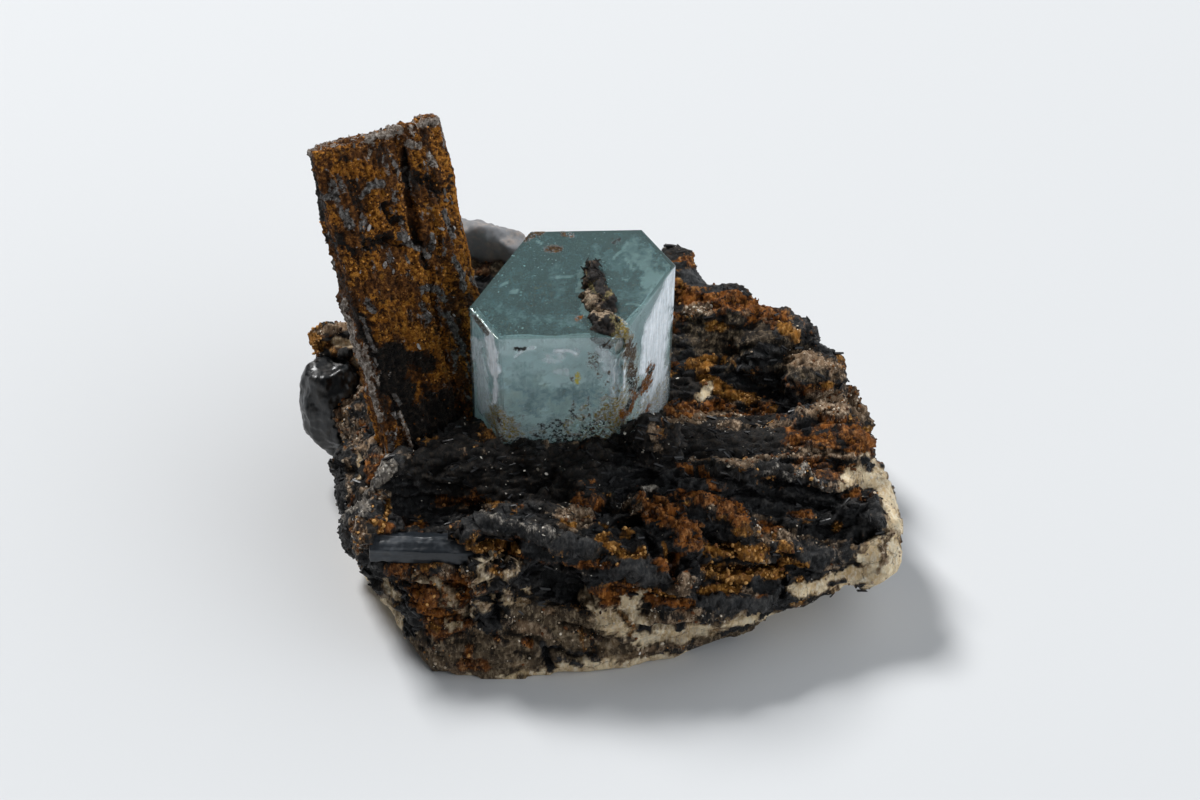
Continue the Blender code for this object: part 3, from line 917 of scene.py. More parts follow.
def refine_seen(mesh: Mesh) -> Mesh:
    """Quarter the faces that the view sees, so that they hold finer detail.

    Args:
        mesh: The coarse skin.

    Returns:
        The finer one.
    """
    work = opened(mesh)
    tree = BVHTree.FromBMesh(work)
    eye = Vector(VIEW.eye() * MM)
    seen = []
    for face in work.faces:
        middle = face.calc_center_median()
        towards = (eye - middle).normalized()
        if face.normal.dot(towards) < 0.05:
            continue
        if tree.ray_cast(middle + face.normal * 0.05 * MM + towards * 0.3 * MM, towards)[0] is None:
            seen.append(face)
    edges = list({edge for face in seen for edge in face.edges})
    bmesh.ops.subdivide_edges(work, edges=edges, cuts=1, use_grid_fill=True)
    return new_mesh(work, "refined")


def heading(angle: float) -> Vector:
    """Level unit direction at an angle in degrees."""
    return Vector((math.cos(math.radians(angle)), math.sin(math.radians(angle)), 0.0))


def add_piece(name: str, mesh: Mesh, material: Material, slot: str, *nodes: str,
              smooth: bool = True) -> Object:
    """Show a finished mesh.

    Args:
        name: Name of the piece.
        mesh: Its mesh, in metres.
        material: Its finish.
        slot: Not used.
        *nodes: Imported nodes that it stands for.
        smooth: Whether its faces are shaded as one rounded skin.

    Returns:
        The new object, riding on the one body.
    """
    mesh.name = name
    if smooth:
        mesh.shade_smooth()
    else:
        mesh.shade_flat()
    mesh.materials.clear()
    mesh.materials.append(material)
    piece = placed(name, mesh)
    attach(piece, "root")
    if nodes:
        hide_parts(*nodes)
    LOG.info("%s: %d points, %d faces", name, len(mesh.vertices), len(mesh.polygons))
    return piece


# ---- strewn grains -----------------------
class Grain(Enum):
    """Shape of a strewn grain."""

    LUMP = "lump"
    PLATE = "plate"
    SPLINTER = "splinter"

    def unit(self) -> tuple[Array, Array]:
        """Model one grain.

        Returns:
            Points of one unit grain and its triangles, wound outward.
        """
        work = bmesh.new()
        if self is Grain.LUMP:
            bmesh.ops.create_icosphere(work, subdivisions=1, radius=0.5)
        elif self is Grain.PLATE:
            bmesh.ops.create_cone(work, cap_ends=True, segments=6, radius1=0.5, radius2=0.42, depth=1.0)
        else:
            bmesh.ops.create_cone(work, cap_ends=True, segments=5, radius1=0.5, radius2=0.36, depth=1.0)
            bmesh.ops.rotate(work, matrix=Matrix.Rotation(math.pi / 2.0, 3, "Y"), verts=work.verts)
        bmesh.ops.triangulate(work, faces=work.faces)
        points = np.array([vert.co for vert in work.verts])
        triangles = np.array([[vert.index for vert in face.verts] for face in work.faces])
        work.free()
        return points, triangles


@dataclass(frozen=True)
class GrainFinish:
    """Grains of one mineral, each in its own tone."""

    name: str
    tones: Tones
    gloss: float

    def build(self) -> Material:
        """Make the material.

        Returns:
            The material.
        """
        graph = Skin(self.name)
        speckle = graph.noise(graph.millimetres(), 6.0, 3.0)
        tone = graph.attribute("tone")
        broad = graph.span(tone, 0.0, 0.7, 0.3, 0.7)
        fine = graph.math("MULTIPLY_ADD", graph.math("SUBTRACT", speckle, 0.5), 0.8, tone)
        return graph.dress(Base_Color=graph.mottled(self.tones, broad, fine), Specular_IOR_Level=0.35,
                           Roughness=graph.span(speckle, 0.3, 0.7, self.gloss, self.gloss + 0.2))


@dataclass(frozen=True)
class Strewing:
    """Small grains strewn over a surface and joined in one piece.

    They may lie along a direction, with some spread, tilt off the surface, sink into it by a share
    of their height, or lie at a depth below it, between two limits.
    """

    name: str
    slot: str
    kind: Grain
    count: int
    size: tuple[float, float]
    stretch: Triple
    tones: Tones
    gloss: float
    seed: int
    sink: float = 0.25
    tilt: float = 0.3
    lie: Triple | None = None
    spread: float = 0.5
    depth: tuple[float, float] = (0.0, 0.0)

    def build(self, skin: Surface, wanted: Array, warmth: Array) -> Object:
        """Strew the grains.

        Args:
            skin: Surface that carries them.
            wanted: How much each point of it wants a grain.
            warmth: Tone that grains take at each point, 0 dark to 1 light.

        Returns:
            The piece.
        """
        rng = np.random.default_rng(self.seed)
        chance = wanted * self.room(skin)
        seats = rng.choice(skin.count, self.count, p=chance / chance.sum())
        upright = skin.normals()[seats]
        normal = upright + rng.normal(0.0, self.tilt, (self.count, 3))
        normal /= np.linalg.norm(normal, axis=1, keepdims=True)
        lie = rng.normal(0.0, 1.0, (self.count, 3))
        if self.lie is not None:
            lie = np.array(self.lie) + self.spread * lie
        along = lie - normal * np.einsum("ij,ij->i", lie, normal)[:, None]
        along /= np.linalg.norm(along, axis=1, keepdims=True)
        across = np.cross(normal, along)
        small, large = self.size
        size = small * (large / small) ** (rng.random(self.count) ** 2.0)
        shape, triangles = self.kind.unit()
        local = shape[None] * (1.0 + rng.uniform(-0.22, 0.22, (self.count, len(shape), 3)))
        local = local * np.array(self.stretch) * size[:, None, None]
        local[..., 2] += ((0.5 - self.sink) * size * self.stretch[2])[:, None]
        seat = skin.points[seats] + rng.uniform(-0.5, 0.5, (self.count, 1)) * 0.2 * along
        seat = seat - upright * rng.uniform(*self.depth, (self.count, 1))
        points = seat[:, None] + sum(local[..., i:i + 1] * axis[:, None]
                                     for i, axis in enumerate((along, across, normal)))
        faces = triangles[None] + (np.arange(self.count) * len(shape))[:, None, None]
        tone = np.clip(warmth[seats] + rng.normal(0.0, 0.2, self.count), 0.0, 1.0)
        mesh = self.joined(held_inside(points.reshape(-1, 3)), faces.reshape(-1, 3))
        Surface(mesh).paint("tone", np.repeat(tone, len(shape)))
        finish = GrainFinish(f"{self.name}_stone", self.tones, self.gloss).build()
        return add_piece(self.name, mesh, finish, self.slot, smooth=False)

    @staticmethod
    def room(skin: Surface) -> Array:
        """Measure the surface.

        Args:
            skin: The surface.

        Returns:
            Area that each point of it stands for.
        """
        near, far = skin.edges.T
        length = np.linalg.norm(skin.points[near] - skin.points[far], axis=1)
        total = np.bincount(near, length, skin.count) + np.bincount(far, length, skin.count)
        return (total / skin.degree) ** 2

    def joined(self, points: Array, faces: Array) -> Mesh:
        """Make the joined mesh.

        Args:
            points: Places of all corners, in millimetres.
            faces: Indices of each triangle's corners.

        Returns:
            The mesh.
        """
        mesh = bpy.data.meshes.new(self.name)
        mesh.vertices.add(len(points))
        mesh.vertices.foreach_set("co", (points * MM).astype(np.float32).ravel())
        mesh.loops.add(faces.size)
        mesh.loops.foreach_set("vertex_index", faces.astype(np.int32).ravel())
        mesh.polygons.add(len(faces))
        mesh.polygons.foreach_set("loop_start", np.arange(0, faces.size, 3, dtype=np.int32))
        mesh.update(calc_edges=True)
        return mesh


ROCK_GRAINS = (
    Strewing("rust_grains", "matrix_rock", Grain.LUMP, 5500, (0.12, 0.42), (1.0, 0.8, 0.7),
             Tones((0.030, 0.012, 0.005), (0.23, 0.085, 0.026), (0.60, 0.32, 0.10)), 0.75, 91,
             sink=0.45),
    Strewing("dark_splinters", "matrix_rock", Grain.SPLINTER, 5200, (0.22, 0.90), (1.0, 0.36, 0.26),
             Tones((0.003, 0.003, 0.004), (0.010, 0.010, 0.011), (0.045, 0.042, 0.040)), 0.28, 92,
             sink=0.48, tilt=0.14, lie=(1.0, 0.0, -0.1), spread=0.45),
    Strewing("pale_grains", "matrix_rock", Grain.LUMP, 2000, (0.10, 0.35), (1.0, 0.8, 0.55),
             Tones((0.20, 0.13, 0.08), (0.50, 0.39, 0.27), (0.80, 0.70, 0.56)), 0.5, 93,
             sink=0.45),
    Strewing("mica_flakes", "matrix_rock", Grain.PLATE, 1500, (0.10, 0.34), (1.0, 0.7, 0.10),
             Tones((0.06, 0.05, 0.04), (0.26, 0.22, 0.17), (0.75, 0.70, 0.62)), 0.2, 94,
             sink=0.3, tilt=0.4),
)

PRISM_GRAINS = (
    Strewing("coat_grains", "rust_coat", Grain.LUMP, 6600, (0.07, 0.23), (1.0, 0.8, 0.7),
             Tones((0.025, 0.009, 0.003), (0.30, 0.105, 0.015), (0.80, 0.36, 0.07)), 0.8, 95,
             sink=0.68),
    Strewing("coat_flakes", "rust_coat", Grain.PLATE, 700, (0.16, 0.70), (1.0, 0.5, 0.09),
             Tones((0.055, 0.044, 0.036), (0.17, 0.15, 0.135), (0.46, 0.43, 0.41)), 0.4, 96,
             sink=0.6, tilt=0.2, lie=(-0.23, 0.52, 0.82)),
)

INCLUSIONS = (
    Strewing("aquamarine_sparkles", "aquamarine_beryl", Grain.PLATE, 800, (0.05, 0.26),
             (1.0, 0.7, 0.06), Tones((0.45, 0.62, 0.66), (0.85, 0.93, 0.95), (1.0, 1.0, 1.0)), 0.2, 97,
             tilt=0.9, depth=(0.10, 1.4)),
    Strewing("aquamarine_specks", "aquamarine_beryl", Grain.LUMP, 420, (0.05, 0.17), (1.0, 0.8, 0.7),
             Tones((0.006, 0.004, 0.003), (0.03, 0.022, 0.014), (0.12, 0.09, 0.05)), 0.6, 98,
             depth=(0.02, 0.4)),
)


# ---- matrix ------------------------------
# Minerals on the front, in the order in which they are laid. The values of a stroke are those of
# Stroke, in their order, and the last ones are left out where they are its usual ones.
ROCK_MARKS = marks(
    # back right
    (Mineral.SLATE, ((700, 335, 760, 338, 800, 375), 20, 0.75, 5), ((688, 276, 714, 281), 11, 1, 5),
     ((862, 420), 6, 1, 4)),
    (Mineral.TAUPE, ((695, 335, 760, 338, 800, 370), 24, 0.55, 5, 1.1)),
    (Mineral.SCHORL, ((757, 357, 775, 357), 11, 1, 5), ((785, 404, 800, 412), 11, 1, 5),
     ((775, 308, 800, 325, 822, 345), 8, 0.8, 5)),
    (Mineral.RUST, ((684, 297, 740, 304, 778, 318), 11, 0.75, 5),
     ((672, 408, 700, 412, 722, 405), 9, 0.7, 5)),
    (Mineral.SAND, ((690, 311, 708, 309), 6, 1, 5), ((792, 358, 812, 360), 9, 1, 5),
     ((822, 366, 834, 374), 6, 1, 5), ((820, 399, 850, 402, 862, 414), 11, 0.9, 5)),
    (Mineral.OCHRE, ((712, 325, 722, 326), 6, 1, 5), ((783, 325, 793, 338), 6, 1, 5),
     ((690, 365, 712, 362), 6, 1, 5), ((702, 376, 720, 388, 730, 396), 8, 1, 5),
     ((742, 396, 754, 400), 6, 1, 5), ((774, 410), 4, 1, 4)),
    (Mineral.FELDSPAR, ((699, 397, 708, 386), 5, 1, 4)),
    (Mineral.TAUPE, ((478, 262, 500, 266), 14, 0.9, 6)),
    (Mineral.RUST, ((482, 272, 492, 262), 7, 0.6, 6)),
    # between the aquamarine and the right hump
    (Mineral.EARTH, ((640, 455, 700, 445, 760, 440), 26, 1, 6), ((420, 475, 520, 470, 620, 470), 26, 1, 6)),
    (Mineral.SAND, ((668, 424, 700, 420, 722, 414), 4, 0.9), ((722, 430, 790, 425), 5, 0.55),
     ((690, 462, 742, 467, 782, 459, 830, 455, 852, 458), 3, 0.85), ((640, 420, 655, 432, 658, 448), 5, 0.5)),
    # right hump
    (Mineral.RUST, ((800, 440, 832, 446, 862, 446), 14, 0.58, 3, 1.1),
     ((850, 430, 868, 450), 6, 0.8, 3, 1.1), ((800, 466, 842, 476), 9, 0.5)),
    (Mineral.SAND, ((800, 419, 820, 415, 842, 420), 4, 0.9), ((806, 450, 850, 455), 3, 0.8),
     ((812, 484, 840, 488), 5, 0.6)),
    # black band down the right
    (Mineral.SCHORL, ((620, 478, 700, 492, 760, 497, 828, 504), 19), ((838, 508, 878, 510), 11),
     ((860, 540, 884, 527), 7), ((850, 548, 855, 560), 10), ((790, 596, 786, 585), 6)),
    (Mineral.SLATE, ((800, 545, 842, 560), 11, 0.8)),
    (Mineral.RUST, ((790, 514, 808, 514), 3.5, 0.9), ((645, 506, 668, 519, 690, 533), 11, 0.95, 3, 0.9),
     ((685, 498, 705, 500, 722, 505, 735, 514, 741, 523), 7, 0.85, 3, 0.9), ((762, 526, 777, 530), 6),
     ((702, 472, 710, 480, 716, 488), 3.5), ((677, 466, 690, 470), 3.5, 0.8)),
    (Mineral.SLATE, ((702, 517, 728, 530), 8, 0.8)),
    (Mineral.OCHRE, ((836, 527), 5.5), ((786, 560, 805, 562), 4), ((800, 579), 4.5), ((775, 538), 4),
     ((700, 548, 722, 552, 762, 549), 7, 0.85), ((706, 571, 740, 576, 778, 570), 10, 0.95),
     ((700, 590, 736, 589), 5), ((658, 590, 672, 598), 5)),
    (Mineral.SCHORL, ((652, 556, 655, 535), 6), ((681, 570, 692, 550), 6), ((664, 574, 668, 584), 5),
     ((738, 561, 775, 557), 3, 0.8)),
    (Mineral.SLATE, ((690, 601, 740, 604, 772, 601), 8), ((752, 583, 775, 591), 7),
     ((600, 577, 640, 566, 654, 578), 11)),
    (Mineral.OCHRE, ((598, 540, 612, 548, 628, 556, 640, 556), 5), ((664, 545, 668, 560), 3, 0.9),
     ((562, 524, 572, 526), 4)),
    # arch and pocket
    (Mineral.SLATE, ((466, 535, 482, 524, 502, 523, 522, 527, 542, 536, 562, 540, 590, 546), 7),
     ((520, 548, 545, 553, 575, 556), 9)),
    (Mineral.SCHORL, ((480, 541, 515, 541), 5), ((534, 574, 556, 584, 576, 590), 20),
     ((410, 500, 445, 515), 20, 0.95), ((600, 515, 622, 512), 9)),
    (Mineral.RUST, ((440, 501, 482, 499), 7, 0.5)),
    # lower front: darker taupe rock on the left, more pale feldspar towards the right
    (Mineral.TAUPE, ((440, 656, 500, 655, 560, 640, 600, 632), 24),
     ((500, 625, 530, 612, 560, 620), 14, 0.9), ((620, 650, 700, 640, 760, 628), 10),
     ((418, 640, 432, 662), 9, 0.8)),
    (Mineral.FELDSPAR, ((470, 632, 494, 640, 520, 640), 10, 0.42, 3, 1.2),
     ((505, 662, 535, 664), 9, 0.36, 3, 1.2), ((560, 632, 590, 640, 612, 644), 9, 0.52, 3, 0.9),
     ((606, 616, 630, 618, 640, 630), 15, 0.78, 4, 0.8), ((586, 598, 598, 606, 606, 622), 7, 0.6, 3, 0.9),
     ((622, 600, 632, 608), 5, 1, 3, 0.9), ((636, 618, 680, 616, 740, 611), 6, 0.62),
     ((640, 640, 690, 634, 740, 624, 764, 614), 7, 0.75, 3, 0.7),
     ((570, 664, 610, 658, 650, 650), 3.5, 0.5), ((792, 591, 830, 582, 880, 573, 900, 570), 8),
     ((872, 552, 896, 552, 898, 565), 18), ((850, 584, 870, 580, 890, 576), 13, 1, 6),
     ((893, 525, 889, 503, 876, 478, 866, 462), 10), ((846, 480, 856, 474, 866, 484), 8, 0.9, 3, 0.9)),
    (Mineral.SAND, ((424, 645, 440, 661, 458, 672), 8, 0.5), ((505, 618, 525, 626, 545, 632), 7, 0.7),
     ((546, 611, 552, 613), 4), ((560, 622, 600, 640), 3, 0.6), ((655, 618, 700, 612), 5, 0.6),
     ((640, 651, 700, 643), 4, 0.7), ((880, 546, 886, 562), 3, 0.6),
     ((892, 532, 884, 548, 878, 572), 3, 0.5)),
    (Mineral.RUST, ((425, 585, 440, 605, 450, 625), 26, 0.46), ((424, 604, 436, 622), 8, 0.8),
     ((456, 580, 468, 586, 478, 594), 11, 1, 3, 0.9), ((428, 630, 450, 632, 462, 622), 6, 0.7),
     ((638, 592, 656, 600, 690, 603), 5), ((606, 596, 616, 600), 6, 0.9), ((612, 586, 634, 584), 5, 0.7),
     ((470, 650, 462, 664, 486, 665), 7, 0.75), ((524, 640, 530, 642), 4), ((492, 630, 496, 636), 4, 0.8)),
    (Mineral.SCHORL, ((403, 590, 412, 612, 412, 632), 8, 0.9), ((542, 644, 546, 656, 550, 668), 5, 1, 2),
     ((544, 647, 570, 650, 600, 658), 3, 0.8, 3, 1.4), ((556, 660, 580, 664), 2.4, 0.9, 3, 1.4),
     ((488, 600, 498, 612, 494, 626), 11), ((638, 630, 650, 629), 2.6, 1, 3, 0.4),
     ((654, 622, 672, 619), 2.4, 1, 3, 1), ((676, 628, 684, 624), 2.4, 1, 3, 0.6),
     ((688, 622, 720, 618), 2.2, 0.85, 3, 1.4), ((720, 632, 750, 625, 752, 622), 2.6, 1, 3, 0.9),
     ((700, 612, 736, 606), 2.2, 0.8, 3, 1.2), ((760, 616, 766, 606), 3),
     ((828, 584, 843, 579), 2.8, 1, 3, 0.4), ((848, 587, 862, 584), 1.8, 1, 3, 0.8),
     ((660, 652, 700, 646), 3, 0.6, 3, 1.4), ((868, 468, 864, 462), 6), ((770, 600, 784, 606, 786, 596), 5)),
    (Mineral.FELDSPAR, ((480, 562, 492, 552, 500, 550), 7, 0.66, 3, 1.9),
     ((484, 572, 478, 582), 7, 0.66, 3, 1.9), ((506, 577, 512, 565), 6, 0.66, 3, 1.7),
     ((505, 594, 514, 603, 524, 604), 5, 0.62, 3, 1.6), ((476, 612, 484, 600), 6, 0.62, 3, 1.9),
     ((418, 576, 434, 580), 6, 0.55, 3, 1.5), ((440, 586, 450, 600, 464, 606), 8, 0.55, 3, 1.5),
     ((448, 620, 456, 626), 5, 0.7, 3, 1.4), ((521, 588, 527, 590), 3, 0.8, 3, 0.8),
     ((640, 590, 632, 604), 5, 0.75, 3, 1.3), ((384, 573, 392, 589, 398, 598), 4, 0.7)),
    (Mineral.OCHRE, ((478, 549, 488, 546, 516, 551), 4.5, 0.9), ((494, 570, 500, 574), 4, 0.8),
     ((620, 612, 634, 624, 630, 634), 3, 0.6), ((580, 632, 584, 650), 2.5, 0.6),
     ((592, 638, 594, 652), 2.5, 0.5), ((430, 626, 436, 628), 4, 0.8)),
    # left flank and left back
    (Mineral.SCHORL, ((344, 480, 345, 520, 350, 548, 376, 566), 15)),
    (Mineral.SAND, ((340, 392, 350, 430, 362, 450), 11, 0.58, 3, 1), ((349, 462, 352, 500), 4, 0.5),
     ((320, 332, 346, 328), 5), ((362, 408), 4)),
    (Mineral.FELDSPAR, ((353, 362, 348, 378), 6), ((336, 341, 350, 345), 6, 0.8),
     ((362, 456, 361, 478), 2.5, 0.8)),
    (Mineral.OCHRE, ((313, 339, 318, 350), 7)),
    (Mineral.SLATE, ((342, 524, 357, 509), 4)),
    # bright rims: mica along the rims, painted pale as a painted highlight where the rims catch the light,
    # and ochre edges
    (Mineral.MICA_AND_HIGHLIGHT, ((363, 545, 364, 526, 368, 505, 373, 492, 381, 480, 389, 468, 402, 457), 3),
     ((376, 486, 393, 470), 2.5), ((376, 541, 400, 539, 414, 533), 2),
     ((482, 522, 500, 520, 520, 523, 540, 532, 560, 537), 2, 0.42, 3, 1.2),
     ((762, 473, 776, 471, 790, 478, 803, 472, 812, 480, 830, 492), 1.6, 0.5), ((642, 495, 655, 491), 2.5),
     ((341, 523, 357, 507), 2)),
    (Mineral.OCHRE, ((380, 536, 385, 515, 388, 500), 2.2), ((364, 518, 365, 538), 2.6, 0.6)),
)

# Creases and crests on the front, by their height in millimetres.
ROCK_RELIEF = marks(
    (0.35, ((363, 545, 364, 526, 368, 505, 373, 492, 381, 480, 389, 468, 402, 457), 3),
     ((466, 538, 482, 524, 502, 521, 522, 525, 542, 534, 560, 538, 590, 547), 3),
     ((762, 473, 776, 471, 790, 478, 803, 472, 812, 480, 830, 492), 2.5), ((642, 495, 655, 491), 3),
     ((690, 464, 742, 468, 782, 460, 852, 458), 3)),
    (0.7, ((470, 533, 500, 526, 530, 532, 560, 542, 592, 550), 9),
     ((640, 504, 668, 517, 692, 535), 12, 0.34, 3, 1.6),
     ((685, 498, 705, 498, 722, 503, 735, 512, 741, 523), 8, 0.24, 3, 1.6),
     ((800, 419, 820, 415, 842, 420), 4), ((600, 572, 630, 566, 656, 578), 9, 0.6, 3, 1),
     ((690, 601, 730, 604, 768, 600), 8, 0.7, 3, 0.9), ((850, 512, 872, 512, 878, 522), 9),
     ((790, 525, 820, 520, 846, 505), 7), ((584, 600, 600, 606), 6), ((480, 562, 492, 552), 5),
     ((508, 575, 512, 565), 5), ((478, 580, 482, 600), 5), ((628, 442, 650, 430), 12),
     ((636, 428, 654, 418), 6)),
    (0.45, ((440, 586, 456, 604), 5), ((416, 576, 432, 580), 4), ((704, 560, 740, 552, 772, 556), 4),
     ((710, 576, 750, 580, 776, 572), 4), ((770, 545, 800, 552, 812, 566), 4), ((640, 545, 648, 560), 4),
     ((684, 552, 692, 568), 4), ((500, 640, 540, 650), 6), ((600, 626, 630, 618), 5),
     ((640, 618, 700, 612, 750, 606), 4)),
    (-0.55, ((700, 530, 720, 545, 736, 552), 3), ((440, 545, 475, 532), 3),
     ((542, 647, 560, 651, 580, 658), 3), ((785, 580, 782, 596), 3), ((640, 626, 690, 622, 750, 614), 3),
     ((750, 478, 800, 486, 836, 496), 3), ((740, 492, 790, 500, 830, 512), 3),
     ((560, 622, 590, 634, 606, 640), 3), ((470, 600, 466, 616), 3), ((700, 568, 740, 568, 776, 564), 3),
     ((676, 474, 710, 476, 740, 484), 3)),
    (-1.1, ((482, 542, 514, 542), 6), ((540, 575, 566, 582, 580, 592), 14), ((620, 525, 636, 520), 7),
     ((648, 540, 652, 552), 6), ((672, 556, 676, 582), 5), ((494, 600, 498, 616), 9),
     ((544, 650, 548, 664), 5), ((856, 538, 872, 534), 5), ((600, 508, 626, 508), 6)),
)


@dataclass
class MatrixRock:
    """The rock that carries the crystals."""

    voxel: float = 0.385
    gap: float = 0.36
    seed: int = 5
    seated: tuple[str, ...] = (
        "aquamarine", "standing_prism", "black_crystal", "ledge_crystal", "back_plate")

    def build(self) -> Object:
        """Model, paint and show the rock.

        Returns:
            The piece.
        """
        coarse = even_skin("matrix", self.voxel, 1)
        self.close_gaps(coarse)
        coarse.write()
        skin = Surface(refine_seen(coarse.mesh))
        skin.smooth(1)
        palette = self.minerals(skin)
        self.relief(skin, palette)
        skin.settle()
        # Masks of painted light: hollow darkens the rock's colour in its hollows as painted shade, and crest
        # lightens its ridges, partly as dust and partly as a painted highlight.
        hollow = skin.hollowness(5) + skin.hollowness(24)
        skin.paint("hollow", ease_between(0.0, 0.30, hollow))
        skin.paint("crest", ease_between(0.02, 0.24, -hollow))
        palette.store()
        self.strew(skin, palette)
        return add_piece("matrix_rock", skin.mesh, RockFinish().build(), "matrix_rock", "matrix")

    @staticmethod
    def strew(skin: Surface, palette: Palette) -> None:
        """Strew loose grains of each mineral where the rock is made of it.

        Args:
            skin: The rock.
            palette: What it is made of.
        """
        shares = palette.shares
        earth = np.clip(1.0 - sum(shares.values()), 0.0, 1.0)
        patchy = ease_between(-0.3, 0.3, fractal_noise(skin.points * 0.8, 3, 0.5, 99))
        clear = ease_between(0.3, 1.2, skin.points[:, 2])
        warm = shares[Mineral.RUST] + shares[Mineral.OCHRE] + 0.6 * shares[Mineral.SAND]
        dark = (shares[Mineral.SCHORL] + earth) * (1.0 - shares[Mineral.FELDSPAR]) ** 3
        pale = 0.4 * shares[Mineral.FELDSPAR] + 0.5 * shares[Mineral.SAND]
        bright = 0.35 * shares[Mineral.MICA_AND_HIGHLIGHT] + 0.07 * earth + 0.12 * shares[Mineral.SAND]
        warmth = 0.30 + 0.45 * shares[Mineral.OCHRE] - 0.15 * shares[Mineral.RUST]
        even = np.ones(skin.count)
        for strewing, wanted, tone in zip(ROCK_GRAINS, (warm, dark, pale, bright),
                                          (warmth, 0.2 * even, 0.5 * even, 0.6 * even)):
            strewing.build(skin, (wanted + 1e-6) * clear * (0.15 + patchy), tone)

    def close_gaps(self, skin: Surface) -> None:
        """Let the rock meet the crystals that sit in it.

        Args:
            skin: The rock.
        """
        near = np.zeros(skin.count)
        for node in self.seated:
            tree = Surface(node_mesh(node)).tree()
            for i in np.flatnonzero(within(skin.points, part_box(node), 1.0)):
                if tree.find_nearest(Vector(skin.points[i] * MM), 0.55 * MM)[0] is not None:
                    near[i] = 1.0
        skin.push(near * self.gap)

    def minerals(self, skin: Surface) -> Palette:
        """Lay the minerals: wild ones everywhere, then what the front shows.

        Args:
            skin: The rock.

        Returns:
            The share of each.
        """
        palette = Palette(skin, Mineral, Mineral.EARTH)
        layers = skin.points * (0.10, 0.22, 0.30)
        for mineral, low, high, scale, gain, seed, most in (
                (Mineral.SCHORL, -0.05, 0.25, 1.0, 0.5, 21, 0.9),
                (Mineral.RUST, 0.22, 0.46, 1.6, 0.55, 31, 0.8),
                (Mineral.SAND, 0.26, 0.50, 1.8, 0.5, 41, 0.7),
                (Mineral.OCHRE, 0.34, 0.52, 2.4, 0.55, 51, 0.7)):
            wild = fractal_noise(layers * scale, 4, gain, seed)
            palette.lay(mineral, ease_between(low, high, wild) * most)
        edge = skin.points[:, 2] + 1.5 * fractal_noise(skin.points * 0.3, 3, 0.5, 61)
        palette.lay(Mineral.FELDSPAR, ease_between(5.0, 2.0, edge) * 0.85)
        palette.draw(Brush(skin, self.seed), ROCK_MARKS)
        return palette

    def relief(self, skin: Surface, palette: Palette) -> None:
        """Roughen the surface, each mineral in its own way.

        Args:
            skin: The rock.
            palette: What it is made of.
        """
        points = skin.points
        free = ease_between(0.0, 2.0, points[:, 2])
        layers = fractal_noise(points * (0.35, 0.9, 1.5), 4, 0.55, 71)
        lumps = fractal_noise(points * 0.8, 3, 0.5, 72)
        room, number = cell_noise(points * 1.9 + 0.35 * lumps[:, None], 73)
        shares = palette.shares
        calm = 0.7 * shares[Mineral.SLATE] + 0.95 * shares[Mineral.FELDSPAR]
        calm = np.maximum(calm, 0.75 * shares[Mineral.TAUPE])
        ridges = 0.5 - np.abs(fractal_noise(points * (0.45, 1.3, 1.7), 3, 0.5, 74))
        knobs = np.abs(fractal_noise(points * (0.30, 0.55, 0.75), 3, 0.55, 76))
        strata = fractal_noise(points * (0.45, 2.2, 3.0) + 0.5 * lumps[:, None], 3, 0.6, 77)
        grains = np.clip(room, 0.0, 0.4)
        amount = 0.30 * layers + 0.10 * lumps + 0.34 * ridges + 0.08 * grains + 0.05 * number
        amount = (amount + 0.16 * strata + 0.55 * knobs - 0.08) * (1.0 - 0.75 * calm)
        Brush(skin, self.seed).add_heights(amount, ROCK_RELIEF)
        skin.push(amount * free)
        fine = fractal_noise(skin.points * (1.7, 2.9, 2.9), 2, 0.7, 75)
        skin.push(0.09 * fine * free * (1.0 - 0.7 * calm))


# ---- standing prism ----------------------
class Coat(Enum):
    """What coats the standing prism. The value names the stored share."""

    RUST = "rust"
    ORANGE = "orange"
    BLACK = "black"
    FLAKE = "flake"
    WHITE = "white"


COAT_TONES = {
    Coat.RUST: Tones((0.022, 0.008, 0.0025), (0.18, 0.062, 0.011), (0.44, 0.19, 0.050)),
    Coat.ORANGE: Tones((0.10, 0.032, 0.005), (0.46, 0.165, 0.018), (0.76, 0.36, 0.065)),
    Coat.BLACK: Tones((0.003, 0.003, 0.003), (0.011, 0.009, 0.007), (0.075, 0.050, 0.034)),
    Coat.FLAKE: Tones((0.030, 0.024, 0.020), (0.14, 0.13, 0.12), (0.46, 0.44, 0.42)),
    Coat.WHITE: Tones((0.06, 0.040, 0.026), (0.30, 0.24, 0.19), (0.82, 0.76, 0.70)),
}

